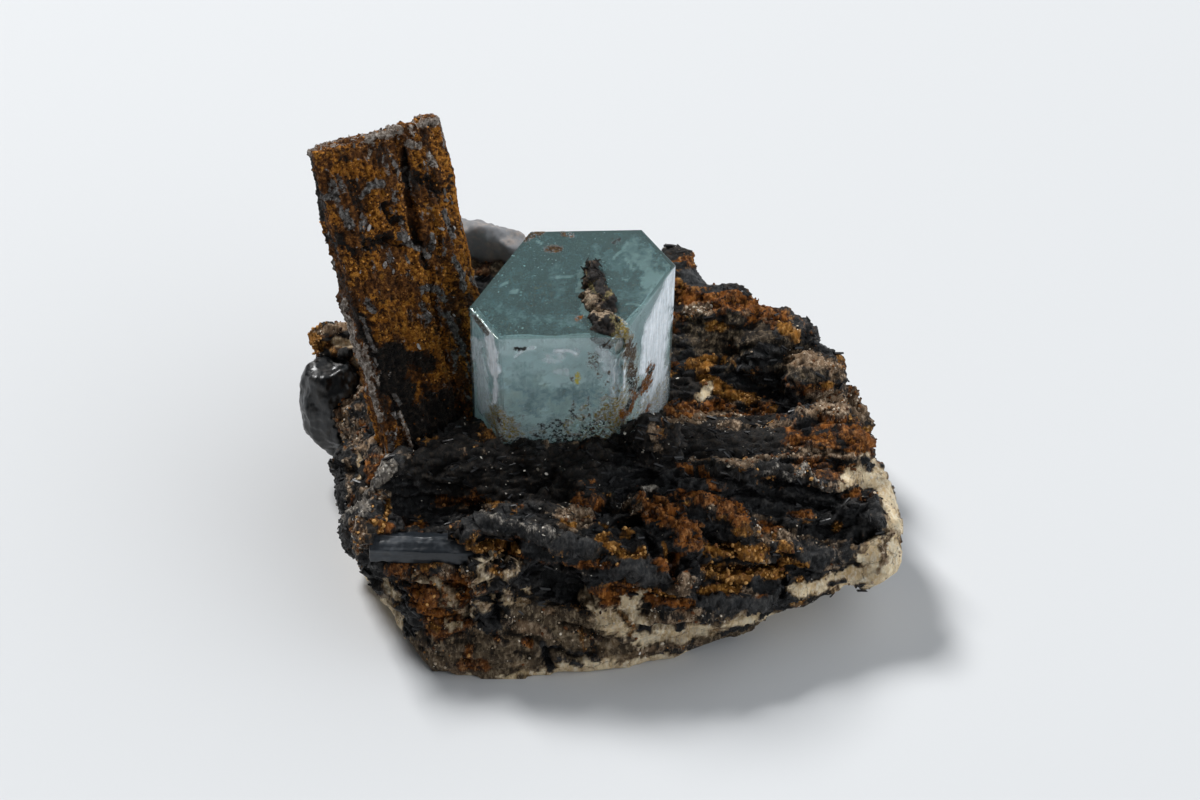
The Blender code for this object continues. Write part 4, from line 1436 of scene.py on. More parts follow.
PRISM_MARKS = marks(
    (Coat.ORANGE, ((345, 168, 366, 172, 378, 176), 9, 0.7), ((375, 214, 392, 226), 7, 0.7),
     ((404, 266, 424, 274, 440, 286), 6, 0.8), ((376, 308, 400, 322, 412, 345), 14, 0.55),
     ((428, 340, 440, 372), 12, 0.55), ((418, 384, 424, 410), 6, 0.5), ((420, 206, 436, 214), 7, 0.5),
     ((455, 250, 464, 275, 470, 290), 4, 0.6), ((466, 312, 468, 335), 4, 0.7)),
    (Coat.BLACK, ((309, 160, 317, 195, 322, 216), 5, 0.9), ((418, 176, 438, 186), 9, 0.75, 3, 1.4),
     ((384, 206, 396, 222), 6, 0.75, 3, 1.4), ((366, 244, 388, 240), 8, 0.75, 3, 1.4),
     ((330, 240, 352, 250), 6, 0.75, 3, 1.4), ((403, 152, 406, 182), 4, 0.6),
     ((412, 242, 428, 250), 6, 0.6), ((392, 360, 400, 400, 420, 440), 16), ((440, 410, 450, 445), 22, 0.95),
     ((386, 352, 430, 362), 10, 0.8), ((360, 320, 380, 365, 395, 400), 7, 0.8),
     ((450, 300, 462, 345), 7, 0.5), ((340, 280, 352, 310), 10, 0.5)),
    (Coat.FLAKE, ((344, 214, 350, 226), 5), ((371, 186, 382, 184), 4), ((362, 196, 368, 190), 4, 0.9),
     ((326, 196, 334, 196), 4), ((400, 234, 414, 246, 428, 256), 3.5), ((430, 236, 432, 248), 3),
     ((444, 212, 452, 236), 3.5), ((451, 258, 458, 272, 464, 288), 4), ((422, 288, 438, 288, 444, 300), 4),
     ((446, 314, 456, 334, 464, 348), 4, 0.9), ((366, 302, 372, 310), 4, 0.8), ((408, 274), 3, 0.8),
     ((422, 304, 430, 320), 3, 0.7), ((404, 170, 408, 186), 3, 0.8), ((362, 320, 370, 340, 374, 350), 2.5),
     ((394, 396, 400, 404), 2.5, 0.9), ((390, 412, 396, 418), 2, 0.8)),
    (Coat.WHITE, ((307, 152, 325, 143, 345, 136, 365, 132), 5, 0.55),
     ((366, 134, 384, 134, 396, 131), 6, 0.9), ((408, 144, 418, 146), 5, 0.85),
     ((420, 124, 436, 121), 5, 0.85), ((428, 156, 434, 164), 4, 0.7), ((372, 150, 368, 158), 3, 0.6),
     ((345, 300, 352, 326, 360, 350, 368, 372, 374, 394, 381, 420), 2.4),
     ((364, 345, 370, 368, 380, 384), 2.2, 0.8), ((399, 412, 406, 432, 411, 446), 2.2, 0.8)),
)

# Grooves and crests of the standing prism, by their height in millimetres.
PRISM_RELIEF = marks(
    (-0.55, ((403, 150, 406, 182, 410, 215, 416, 244), 3, 0.6), ((418, 178, 438, 188), 5, 0.7),
     ((366, 245, 388, 240, 400, 246), 4), ((386, 206, 396, 222), 4)),
    (0.35, ((343, 296, 352, 326, 360, 350, 368, 372, 374, 394, 381, 420), 3.5),
     ((399, 412, 406, 432, 411, 446), 3), ((432, 200, 444, 240, 456, 280), 4)),
)


@dataclass(frozen=True)
class CoatFinish:
    """Finish of the standing prism: a granular rusty coat with flakes along its length, and painted shade in
    its hollows.
    """

    name: str = "rusty_coat"
    grain_scale: float = 4.2

    def build(self) -> Material:
        """Make the material.

        Returns:
            The material.
        """
        graph = Skin(self.name)
        place = graph.millimetres()
        number, face, fine = graph.group(GRIT, place, self.grain_scale, 0.5)
        broad = graph.noise(place, 0.9, 5.0, 0.68)
        blend = graph.blend(number, 0.2, fine)
        breakup = graph.blend(blend, 0.75, broad)
        colour = graph.mottled(COAT_TONES[Coat.RUST], blend, fine)
        rough = graph.span(fine, 0.3, 0.7, 0.7, 0.95)
        for coat, roughness in ((Coat.ORANGE, 0.9), (Coat.BLACK, 0.45), (Coat.FLAKE, 0.35),
                                (Coat.WHITE, 0.4)):
            mask = graph.patch(coat, breakup, 3.4, 3.0)
            colour = graph.mix(mask, colour, graph.mottled(COAT_TONES[coat], blend, fine))
            rough = graph.between(mask, rough, roughness)
        pits = graph.span(broad, 0.30, 0.48, 0.35, 1.0)
        # Painted shade: the coat's colour is darkened in its hollows.
        hollow = graph.span(graph.attribute("hollow"), 0.0, 1.0, 1.0, 0.35)
        return graph.dress(
            Base_Color=graph.dimmed(colour, graph.math("MULTIPLY", pits, hollow)), Roughness=rough,
            Specular_IOR_Level=0.18,
            Normal=graph.bump(graph.math("MULTIPLY_ADD", face, 0.3, fine), 0.9, 0.35))


@dataclass
class StandingPrism:
    """The rust-coated prism that leans back on the left."""

    voxel: float = 0.145
    lean_back: float = 32.0
    lean_left: float = 13.0
    turn: float = 34.0
    foot: Triple = (-16.7, -5.4, 13.3)
    seed: int = 15

    def axes(self) -> Array:
        """Work out how the prism stands.

        Returns:
            Rows along its breadth, depth and length.
        """
        back, left = math.radians(self.lean_back), math.radians(self.lean_left)
        length = np.array((-math.sin(left), math.cos(left) * math.sin(back),
                           math.cos(left) * math.cos(back)))
        breadth = np.array(heading(self.turn))
        breadth -= length * (breadth @ length)
        breadth /= np.linalg.norm(breadth)
        return np.array((breadth, np.cross(length, breadth), length))

    def build(self) -> Object:
        """Model, paint and show the prism.

        Returns:
            The piece.
        """
        skin = even_skin("standing_prism", self.voxel, 1)
        along = (skin.points - np.array(self.foot)) @ self.axes().T
        palette = Palette(skin, Coat, Coat.RUST)
        streaks = fractal_noise(along * (0.7, 0.7, 0.16), 4, 0.5, 81)
        warm = fractal_noise(along * (0.5, 0.5, 0.25), 4, 0.5, 82)
        flaky = fractal_noise(along * (1.5, 1.5, 0.45), 3, 0.5, 83)
        palette.lay(Coat.BLACK, ease_between(0.22, 0.55, streaks) * 0.6)
        palette.lay(Coat.ORANGE, ease_between(-0.15, 0.30, warm) * 0.62)
        palette.lay(Coat.FLAKE, ease_between(0.30, 0.60, flaky) * 0.6)
        top = ease_between(22.2, 23.0, along[:, 2])
        palette.lay(Coat.WHITE, top * ease_between(-0.1, 0.5, flaky) * 0.7)
        palette.draw(Brush(skin, self.seed), PRISM_MARKS)
        self.relief(skin, along, palette)
        skin.settle()
        # Mask of painted shade: the coat's colour is darkened in its hollows.
        skin.paint("hollow", ease_between(0.0, 0.12, skin.hollowness(6)))
        palette.store()
        shares = palette.shares
        bare = shares[Coat.BLACK] + shares[Coat.FLAKE] + shares[Coat.WHITE]
        coat = np.clip(1.0 - bare, 0.02, 1.0) * self.inner(along)
        warmth = 0.30 + 0.4 * shares[Coat.ORANGE] + 0.4 * shares[Coat.WHITE]
        for strewing, wanted in zip(PRISM_GRAINS, (coat, 0.02 + shares[Coat.FLAKE])):
            strewing.build(skin, wanted, warmth)
        return add_piece("standing_prism_coated", skin.mesh, CoatFinish().build(), "rust_coat",
                         "standing_prism")

    def relief(self, skin: Surface, along: Array, palette: Palette) -> None:
        """Give it ribs along its length, plates that have flaked off, and grains.

        Args:
            skin: The prism.
            along: Its points along its own axes.
            palette: What coats it.
        """
        ribs = fractal_noise(along * (1.5, 1.5, 0.10), 3, 0.5, 84)
        room, number = cell_noise(along * (0.9, 0.9, 0.35) + 0.25 * ribs[:, None], 85)
        plates = (number - 0.5) * ease_between(0.0, 0.15, room)
        room, number = cell_noise(along * 3.0, 86)
        grains = number * ease_between(0.0, 0.2, room)
        fine = fractal_noise(along * 2.2, 3, 0.6, 87)
        amount = 0.12 * ribs + 0.34 * plates + 0.18 * (grains - 0.4) + 0.16 * fine
        amount += 0.10 * palette.shares[Coat.FLAKE] - 0.14 * palette.shares[Coat.BLACK]
        Brush(skin, self.seed + 1).add_heights(amount, PRISM_RELIEF)
        skin.push(amount * (0.3 + 0.7 * self.inner(along)))

    @staticmethod
    def inner(along: Array) -> Array:
        """One inside the prism's broad faces, falling to nothing at their long edges."""
        out = np.abs(along[:, 0] - along[:, 0].mean())
        return 1.0 - ease_between(0.80, 0.97, out / np.quantile(out, 0.995))


# ---- aquamarine --------------------------
class Stain(Enum):
    """What lies on the aquamarine's faces. The value names the stored share."""

    # Frost: whitish cloud on the faces, and also painted light: the bright right face, highlight streaks and
    # lit edges.
    FROST_AND_HIGHLIGHT = "frost_and_highlight"
    OLIVE = "olive"
    BROWN = "brown"
    RUST = "rust"
    BLACK = "black"
    YELLOW = "yellow"


STAIN_TONES = {
    Stain.FROST_AND_HIGHLIGHT: Tones((0.76, 0.83, 0.88), (0.90, 0.94, 0.97), (0.97, 0.98, 1.0)),
    Stain.OLIVE: Tones((0.026, 0.019, 0.004), (0.16, 0.115, 0.020), (0.44, 0.34, 0.10)),
    Stain.BROWN: Tones((0.010, 0.006, 0.003), (0.055, 0.030, 0.012), (0.20, 0.12, 0.055)),
    Stain.RUST: Tones((0.016, 0.006, 0.002), (0.17, 0.055, 0.006), (0.42, 0.17, 0.03)),
    Stain.BLACK: Tones((0.004, 0.004, 0.003), (0.012, 0.010, 0.008), (0.05, 0.04, 0.03)),
    Stain.YELLOW: Tones((0.35, 0.28, 0.03), (0.55, 0.45, 0.06), (0.75, 0.65, 0.15)),
}

AQUA_STAINS = marks(
    # Frost strokes, partly painted light: the bright right face, painted highlight streaks on the front, a
    # painted reflection streak on the left face and a painted highlight along the right bevel's edge.
    (Stain.FROST_AND_HIGHLIGHT, ((656, 272, 656, 330, 653, 366), 17, 0.95, 3.5, 0.3),
     ((670, 262, 672, 300), 7, 0.7, 3, 0.3), ((657, 372, 656, 392, 650, 402), 12, 0.62, 3, 0.6),
     ((514, 357, 522, 351, 534, 347), 1.5, 0.45, 1.5, 0.9),
     ((549, 359, 560, 357, 573, 352), 4, 0.26, 1.5, 1.6),
     ((556, 352, 566, 350, 576, 354), 1.5, 0.5, 1.5, 0.9), ((553, 372, 566, 371), 3, 0.3, 1.5, 1.2),
     ((488, 332, 492, 350, 495, 372), 5, 0.85, 2.2), ((494, 350, 496, 385, 494, 402), 2.6, 0.9, 1.8),
     ((478, 345, 482, 385, 484, 410), 8, 0.34, 1.8, 0.8),
     ((600, 350, 612, 362, 616, 390), 7, 0.26, 1.4, 0.8),
     ((624, 336, 625, 360, 624, 396), 1.1, 0.75, 1.4, 0.3)),
    (Stain.OLIVE, ((494, 416, 504, 430, 524, 440), 13, 0.64, 1.8, 1.1),
     ((574, 438, 596, 430, 614, 418), 18, 0.72, 2, 1.1), ((604, 404, 620, 400), 9, 0.4, 1.8, 1.2),
     ((612, 320, 622, 328, 629, 342), 6, 0.95, 2.2, 0.9),
     ((630, 342, 631, 360, 631, 388), 6, 0.88, 2.2, 0.9),
     ((640, 412, 655, 402, 664, 392), 9, 0.36, 1.8, 1.2)),
    (Stain.BROWN, ((525, 239, 533, 235, 542, 232), 2.6, 0.7, 1.2), ((563, 233, 571, 234), 2.6, 0.7, 1.2),
     ((548, 249, 559, 249), 3.2, 0.95, 1.2, 0.3), ((474, 316, 481, 325, 487, 334), 2.4, 0.7, 1.6),
     ((631, 344, 630, 358), 4.6, 0.82, 2, 1), ((631, 366, 631, 390), 4.6, 0.84, 2, 1),
     ((500, 437, 508, 443), 3, 0.6, 1.6, 1.2), ((571, 376, 572, 388), 1.2, 0.42, 1.2),
     ((573, 402, 573, 412), 1.2, 0.55, 1.2), ((589, 398, 589, 422), 1.2, 0.45, 1.2),
     ((609, 373), 2, 0.8, 1), ((498, 419, 500, 424), 2.4, 0.6, 1.2),
     ((583, 430, 600, 430), 7, 0.52, 1.8, 1.2), ((596, 358, 600, 380), 5, 0.34, 1.2, 1.2)),
    (Stain.RUST, ((652, 366, 648, 378, 642, 390), 3.6, 0.92, 2, 1),
     ((637, 394, 630, 405, 623, 416), 4, 0.92, 2, 1), ((650, 406, 646, 413), 3, 0.6, 1.8, 0.9),
     ((577, 319, 581, 317), 2.2, 0.7, 1.2)),
    (Stain.BLACK, ((515, 349, 525, 349), 1.6, 1, 1.2, 0.2),
     ((545, 428, 556, 428, 563, 426), 7, 0.42, 1.6, 1.4), ((556, 441, 571, 438), 6, 0.46, 1.6, 1.4),
     ((520, 441, 540, 440), 5, 0.42, 1.6, 1.4), ((584, 428, 597, 426), 8, 0.46, 1.6, 1.4),
     ((572, 411, 573, 416), 1.8, 0.8, 1.4), ((630, 378, 631, 386), 3.2, 0.5, 1.8, 1),
     ((614, 243, 620, 240), 1.6, 0.8, 1), ((652, 368, 649, 372), 1.4, 0.9, 1.6, 0.9),
     ((641, 386, 638, 391), 1.6, 0.9, 1.6, 0.9), ((630, 400, 626, 408), 1.8, 0.8, 1.6, 1.1)),
    (Stain.YELLOW, ((578, 374, 577, 382), 2, 1, 1.2, 0.4)),
)

# Milky clouds just under the faces, by their strength.
VEIL_MARKS = marks(
    (0.56, ((514, 358, 524, 352, 534, 347), 3, 1, 1.5, 0.8), ((522, 356, 530, 354), 3, 1.6, 1.5, 0.8),
     ((545, 360, 558, 358, 573, 352), 8, 1.3, 1.5, 1.2), ((556, 347, 572, 346, 584, 352), 2, 1.5, 1.5, 0.8),
     ((549, 378, 562, 374, 578, 377), 6, 1, 1.5, 1.2), ((558, 348, 567, 347), 4, 1, 1.5, 1.2),
     ((588, 352, 606, 350, 620, 352), 9, 1, 1.5, 1.2), ((600, 372, 612, 380, 618, 394), 7, 1, 1.5, 1.2),
     ((503, 352, 506, 374, 504, 400), 5, 1, 1.5, 1.2), ((505, 412, 530, 418, 548, 414), 5, 0.7, 1.5, 1.4)),
    (0.6, ((490, 350, 491, 372, 492, 398), 4, 1, 1.5, 0.8), ((655, 290, 652, 330, 650, 366), 16)),
    (-0.14, ((526, 368, 532, 388, 534, 408), 9, 1, 1.5, 1), ((478, 345, 478, 380), 5, 1, 1.5),
     ((560, 388, 582, 391), 5, 1, 1.5, 1)),
    (0.8, ((586, 268, 580, 281, 583, 298, 588, 312), 5, 1, 1.6, 1), ((557, 278, 572, 277), 1.6, 1, 1, 0.1),
     ((622, 280, 627, 281), 1.6, 1, 1, 0.1), ((613, 259, 621, 252, 628, 243), 1.3, 1, 1, 0.4),
     ((626, 260, 634, 271), 1.3, 1, 1, 0.4), ((501, 286, 507, 283), 1.6, 1, 1, 0.4),
     ((511, 293, 519, 293), 2, 1, 1, 1), ((628, 305, 642, 306), 1.6, 1, 1, 0.6),
     ((536, 241, 541, 244), 1.4, 1, 1, 0.6), ((632, 250, 646, 262, 658, 276), 12, 0.7, 1.4, 0.9),
     ((560, 322, 580, 324), 5, 0.5, 1.4, 1.2)),
    (0.3, ((536, 323, 552, 318), 6, 1, 1.4, 1), ((596, 250, 612, 262, 628, 268), 7, 1, 1.4, 1),
     ((640, 262, 652, 280), 8, 1, 1.4, 1), ((556, 268, 560, 292), 5, 1, 1.4, 1),
     ((612, 300, 640, 296), 6, 1, 1.4, 1), ((500, 310, 520, 318), 6, 1, 1.4, 1)),
)

# Where the beryl is stained from below.
LOW_MARKS = (
    Stroke((496, 410, 502, 428, 510, 442), 17, 0.85, 2.5, 1),
    Stroke((502, 392, 514, 404), 11, 0.45, 2, 1.2),
    Stroke((576, 426, 596, 430, 616, 424), 17, 0.95, 2.5, 1),
    Stroke((600, 404, 618, 406, 624, 392), 13, 0.5, 2, 1.2),
    Stroke((640, 408, 656, 396, 668, 384), 13, 0.35, 2.5, 1),
    Stroke((560, 412, 590, 410, 612, 404), 14, 0.5, 2, 1.2), Stroke((615, 344, 620, 352), 4, 0.6, 1.5))


@dataclass(frozen=True)
class BerylFinish:
    """Clear pale blue-green beryl, with painted shade: its top face, where the view goes down into it, is
    given a darker tone than its sides.
    """

    name: str = "clear_beryl"
    side_tone: Triple = (0.76, 0.95, 0.96)
    # Darker tone of the top face: painted shade.
    shaded_top_tone: Triple = (0.40, 0.61, 0.60)
    roughness: float = 0.015
    refraction: float = 1.577
    clearness: float = 0.87
    absorbed: Triple = (0.40, 0.74, 0.76)
    density: float = 55.0

    def build(self) -> Material:
        """Make the material.

        Returns:
            The material.
        """
        graph = Skin(self.name)
        streaks = graph.noise(graph.millimetres((0.30, 0.30, 6.0)), 1.0, 4.0)
        volume = graph.put("VolumeAbsorption", Color=self.absorbed, Density=self.density)
        graph.join(graph.tree.nodes["Material Output"], Volume=volume.outputs[0])
        return graph.dress(
            Base_Color=graph.mix(graph.attribute("top"), self.side_tone, self.shaded_top_tone),
            Roughness=graph.span(streaks, 0.45, 0.75, self.roughness, 0.09), IOR=self.refraction,
            Transmission_Weight=self.clearness, Normal=graph.bump(streaks, 0.12, 0.05))


@dataclass(frozen=True)
class VeilFinish:
    """Milky cloud inside the beryl: fine white wisps that thin out to nothing."""

    name: str = "milky_veil"
    clear_tone: Triple = (0.38, 0.62, 0.72)
    milk_tone: Triple = (0.98, 0.99, 1.0)
    low_tone: Triple = (0.20, 0.155, 0.06)

    def build(self) -> Material:
        """Make the material.

        Returns:
            The material.
        """
        graph = Skin(self.name)
        cloud = graph.noise(graph.millimetres((1.0, 1.0, 1.2)), 1.5, 8.0, 0.72, 0.6)
        streak = graph.noise(graph.millimetres((0.16, 0.16, 2.4)), 1.0, 4.0)
        wisps = graph.span(graph.blend(cloud, 0.82, streak), 0.32, 0.68, -0.26, 0.40)
        glint = graph.group(SPECKS, graph.millimetres(), 3.2, 0.22, 0.10)[0]
        milky = graph.math("ADD", graph.attribute("veil"), wisps)
        milky = graph.math("MULTIPLY_ADD", glint, 0.5, milky)
        tone = graph.mix(graph.span(milky, 0.25, 0.9), self.clear_tone, self.milk_tone)
        tone = graph.mix(graph.attribute("low"), tone, self.low_tone)
        outer = graph.span(graph.attribute("inner"), 0.0, 1.0, 1.0, 0.2)
        cover = graph.math("MULTIPLY", graph.span(milky, 0.0, 1.15, 0.02, 0.94), outer)
        return graph.dress(Base_Color=tone, Alpha=cover, Roughness=0.8, Specular_IOR_Level=0.1,
                           Subsurface_Weight=0.6, Subsurface_Radius=(1.0, 1.0, 1.0),
                           Subsurface_Scale=1.0 * MM)


@dataclass(frozen=True)
class StainFinish:
    """Thin dirt on the aquamarine's faces, and frost: a whitish cloud that also stands for painted light and
    painted highlights.
    """

    name: str = "face_stains"

    def build(self) -> Material:
        """Make the material.

        Returns:
            The material.
        """
        graph = Skin(self.name)
        number, face, fine = graph.group(GRIT, graph.millimetres(), 8.0, 0.3)
        blend = graph.blend(number, 0.45, fine)
        streak = graph.noise(graph.millimetres((0.35, 0.35, 2.2)), 1.0, 6.0, 0.7)
        # Frost cover: whitish cloud, and painted light on the faces.
        cover = graph.math("MULTIPLY", graph.attribute(Stain.FROST_AND_HIGHLIGHT.value),
                           graph.span(streak, 0.35, 0.62, 0.55, 1.1))
        colour = graph.mottled(STAIN_TONES[Stain.FROST_AND_HIGHLIGHT], blend, fine)
        for stain in list(Stain)[1:]:
            mask = graph.patch(stain, blend, 2.2, 1.5 if stain is Stain.OLIVE else 4.0)
            colour = graph.mix(mask, colour, graph.mottled(STAIN_TONES[stain], blend, fine))
            cover = graph.math("MAXIMUM", cover, mask)
        return graph.dress(Base_Color=colour, Alpha=cover, Roughness=0.75, Specular_IOR_Level=0.12,
                           Normal=graph.bump(face, 0.5, 0.05))


@dataclass(frozen=True)
class Veiled:
    """A side of the aquamarine with a milky sheet: where it faces, how far out, and how milky."""

    angle: float
    apothem: float
    high: float
    low: float


@dataclass
class Aquamarine:
    """The flat-topped prism: clear beryl, veils inside it and stains on its faces."""

    top: Triple = (-2.12, 0.57, 24.3)
    lean: tuple[float, float] = (3.88, 0.79)
    turn: float = 2.41
    step: float = 0.28
    shown_depth: float = 12.0
    soft_edge: float = 0.09
    faces: tuple[tuple[float, float], ...] = (
        (90.0, 6.03), (30.0, 7.90), (-30.0, 6.01), (-90.0, 5.87), (-150.0, 8.00), (150.0, 5.67),
        (-58.0, 6.60))
    veiled: tuple[Veiled, ...] = (
        Veiled(-30.0, 6.01, 0.95, 0.95), Veiled(-90.0, 5.87, 1.0, 0.41),
        Veiled(-150.0, 8.00, 0.66, 0.62), Veiled(-58.0, 6.60, 0.70, 0.40))
    top_veil: float = 0.05
    veil_inset: float = 0.40
    veil_gap: float = 0.30
    veil_cell: float = 0.18
    veil_thickness: float = 0.03
    top_inset: float = 0.14
    half_breadth: float = 9.0
    half_depth: float = 7.0
    film: float = 0.025
    stain_seed: int = 25
    veil_seed: int = 35

    def frame(self) -> Matrix:
        """Work out how the crystal stands.

        Returns:
            Maps its own frame, top face at zero, to the object, both in millimetres.
        """
        about = [Matrix.Rotation(math.radians(angle), 4, axis)
                 for angle, axis in ((self.lean[1], "Y"), (self.lean[0], "X"), (self.turn, "Z"))]
        return Matrix.Translation(Vector(self.top)) @ about[0] @ about[1] @ about[2]

    def metres(self) -> Matrix:
        """Maps its own millimetres to the object's metres."""
        return Matrix.Scale(MM, 4) @ self.frame()

    def local(self, points: Array) -> Array:
        """Points in its own frame, in millimetres."""
        inverse = np.array(self.frame().inverted())
        return points @ inverse[:3, :3].T + inverse[:3, 3]

    def build(self) -> None:
        """Make the crystal, its veils, its inclusions and its stains."""
        glass = self.crystal()
        stained = self.stains(glass)
        self.include(Surface(glass))
        slot = "aquamarine_beryl"
        add_piece("aquamarine_crystal", glass, BerylFinish().build(), slot, "aquamarine", smooth=False)
        add_piece("aquamarine_stains", stained, StainFinish().build(), slot, smooth=False)
        add_piece("aquamarine_veils", self.veils(), VeilFinish().build(), slot)

    def include(self, skin: Surface) -> None:
        """Tell the top from the sides, and strew small inclusions under them.

        Args:
            skin: The crystal.
        """
        height = self.local(skin.points)[:, 2]
        # Top mask: the beryl's finish paints the top face darker with it, as painted shade.
        top = (height > -0.03).astype(float)
        skin.paint("top", top)
        facing = ease_between(0.2, -0.4, skin.normals()[:, 1])
        side = facing * ease_between(-10.0, -7.0, height) * (1.0 - top)
        dirty = 0.7 * top + side * (0.3 + 5.0 * ease_between(-7.0, -9.5, height))
        for strewing, wanted in zip(INCLUSIONS, (top + 0.6 * side, dirty)):
            strewing.build(skin, wanted, np.full(skin.count, 0.6))

    def crystal(self) -> Mesh:
        """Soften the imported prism's edges and cut it into small cells.

        Returns:
            The crystal's mesh.
        """
        work = opened(node_mesh("aquamarine"))
        work.transform(self.metres().inverted())
        bmesh.ops.dissolve_limit(work, angle_limit=math.radians(1.0), verts=work.verts[:],
                                 edges=work.edges[:])
        sharp = [edge for edge in work.edges
                 if edge.calc_length() > 2.5 and edge.calc_face_angle(0.0) > math.radians(20.0)]
        bmesh.ops.bevel(work, geom=sharp, offset=self.soft_edge, segments=2, affect="EDGES", profile=0.6)
        spans = ((-self.half_breadth, self.half_breadth), (-self.half_depth, self.half_depth),
                 (-self.shown_depth, -0.1))
        for normal, (low, high) in zip(np.eye(3), spans):
            for place in np.arange(low, high, self.step):
                self.cut(work, Vector(normal), place)
        work.transform(self.metres())
        return new_mesh(work, "glass")

    @staticmethod
    def cut(work: bmesh.types.BMesh, normal: Vector, place: float, trim: bool = False) -> None:
        """Cut through geometry.

        Args:
            work: The geometry.
            normal: Direction that the cut is square to.
            place: How far out it lies.
            trim: Whether what lies beyond is taken off.
        """
        everything = work.verts[:] + work.edges[:] + work.faces[:]
        bmesh.ops.bisect_plane(work, geom=everything, plane_co=normal * place, plane_no=normal,
                               clear_outer=trim)

    def stains(self, glass: Mesh) -> Mesh:
        """Lay a film over the stained cells, standing just proud of the crystal.

        Args:
            glass: The crystal.

        Returns:
            The film.
        """
        skin = Surface(glass.copy())
        shares = np.max(np.stack(list(self.stained(skin).shares.values())), axis=0)
        skin.push(np.full(skin.count, self.film))
        skin.write()
        work = opened(skin.mesh)
        bare = [face for face in work.faces if max(shares[vert.index] for vert in face.verts) < 0.10]
        bmesh.ops.delete(work, geom=bare, context="FACES")
        bmesh.ops.subdivide_edges(work, edges=work.edges[:], cuts=1, use_grid_fill=True)
        finer = Surface(new_mesh(work, "film"))
        self.stained(finer).store()
        return self.thickened(finer.mesh, self.film * 0.8)

    @staticmethod
    def thickened(mesh: Mesh, thickness: float) -> Mesh:
        """An open sheet as a closed one, some millimetres through."""
        return modified(mesh, "SOLIDIFY", thickness=thickness * MM, offset=-1.0)

    def stained(self, skin: Surface) -> Palette:
        """Lay the stains on a surface. Frost, partly painted light, keeps to the sides.

        Args:
            skin: The surface.

        Returns:
            The share of each stain.
        """
        palette = Palette(skin, Stain)
        brush = Brush(skin, self.stain_seed)
        for group in AQUA_STAINS:
            palette.draw(brush, (group,))
            if group[0] is Stain.FROST_AND_HIGHLIGHT:
                palette.shares[Stain.FROST_AND_HIGHLIGHT] *= self.local(skin.points)[:, 2] < -0.06
        return palette

    def veils(self) -> Mesh:
        """Make milky sheets just under the top and the front faces, and paint them.

        Returns:
            Their mesh.
        """
        work = bmesh.new()
        self.sheet(work, Vector((0.0, 0.0, 1.0)), -self.top_inset)
        for side in self.veiled:
            self.sheet(work, heading(side.angle), side.apothem - self.veil_inset)
        work.transform(self.metres())
        skin = Surface(self.thickened(new_mesh(work, "veils"), self.veil_thickness))
        local = self.local(skin.points)
        veil = np.where(local[:, 2] > -0.25, self.top_veil, 0.4)
        down = ease_between(-1.8, -7.5, local[:, 2])
        for side in self.veiled:
            away = side.apothem - self.veil_inset - local @ np.array(heading(side.angle))
            amount = side.high + (side.low - side.high) * down
            veil = np.where((np.abs(away) < 0.35) & (local[:, 2] < -0.25), amount, veil)
        brush = Brush(skin, self.veil_seed)
        ragged_foot = local[:, 2] + 0.8 * fractal_noise(local * 0.5, 3, 0.5, 36)
        low = 0.42 * ease_between(-6.5, -10.0, ragged_foot)
        for mark in LOW_MARKS:
            low = np.maximum(low, brush.share(mark))
        brush.add_heights(veil, VEIL_MARKS)
        veil += 0.9 * low
        outward = skin.normals() @ np.array(self.frame())[:3, :3]
        facing = np.einsum("ij,ij->i", outward, local + (0.0, 0.0, 6.0))
        skin.paint("veil", np.clip(veil, -0.5, 1.2))
        skin.paint("low", low)
        skin.paint("inner", (facing < 0.0).astype(float))
        return skin.mesh

    def sheet(self, work: bmesh.types.BMesh, out: Vector, distance: float) -> None:
        """Add one gridded sheet, cut to fit between the crystal's faces.

        Args:
            work: Where it goes.
            out: Direction that it is square to.
            distance: How far out it lies.
        """
        cells = round(2.0 * self.shown_depth / self.veil_cell)
        up = Vector((0.0, 0.0, 1.0))
        turn = up.rotation_difference(out).to_matrix().to_4x4()
        piece = bmesh.new()
        bmesh.ops.create_grid(piece, x_segments=cells, y_segments=cells, size=self.shown_depth,
                              matrix=Matrix.Translation(out * distance) @ turn)
        level = out.z > 0.5
        walls = [(heading(angle), room - self.veil_gap) for angle, room in self.faces]
        walls.append((-up, self.shown_depth))
        if not level:
            walls.append((up, -self.veil_gap))
        for normal, room in walls:
            if normal.dot(out) < 0.99:
                self.cut(piece, normal, room, trim=True)
        if not level:
            for vert in piece.verts:
                wave = math.sin(vert.co.x * 1.3 + vert.co.y + vert.co.z * 0.6)
                vert.co -= out * (0.10 + 0.10 * wave)
        work.from_mesh(new_mesh(piece, "sheet"))


# ---- edge crust --------------------------
class Crust(Enum):
    """What the crust on the aquamarine's edge is made of. The value names the stored share."""

    BROWN = "brown"
    CREAM = "cream"
    OLIVE = "olive"
    DARK = "dark"


CRUST_TONES = {
    Crust.BROWN: Tones((0.012, 0.007, 0.004), (0.060, 0.034, 0.018), (0.24, 0.155, 0.09)),
    Crust.CREAM: Tones((0.12, 0.075, 0.042), (0.36, 0.26, 0.165), (0.72, 0.60, 0.44)),
    Crust.OLIVE: Tones((0.03, 0.024, 0.008), (0.15, 0.115, 0.038), (0.44, 0.36, 0.15)),
    Crust.DARK: Tones((0.003, 0.002, 0.0015), (0.010, 0.006, 0.004), (0.05, 0.030, 0.020)),
}

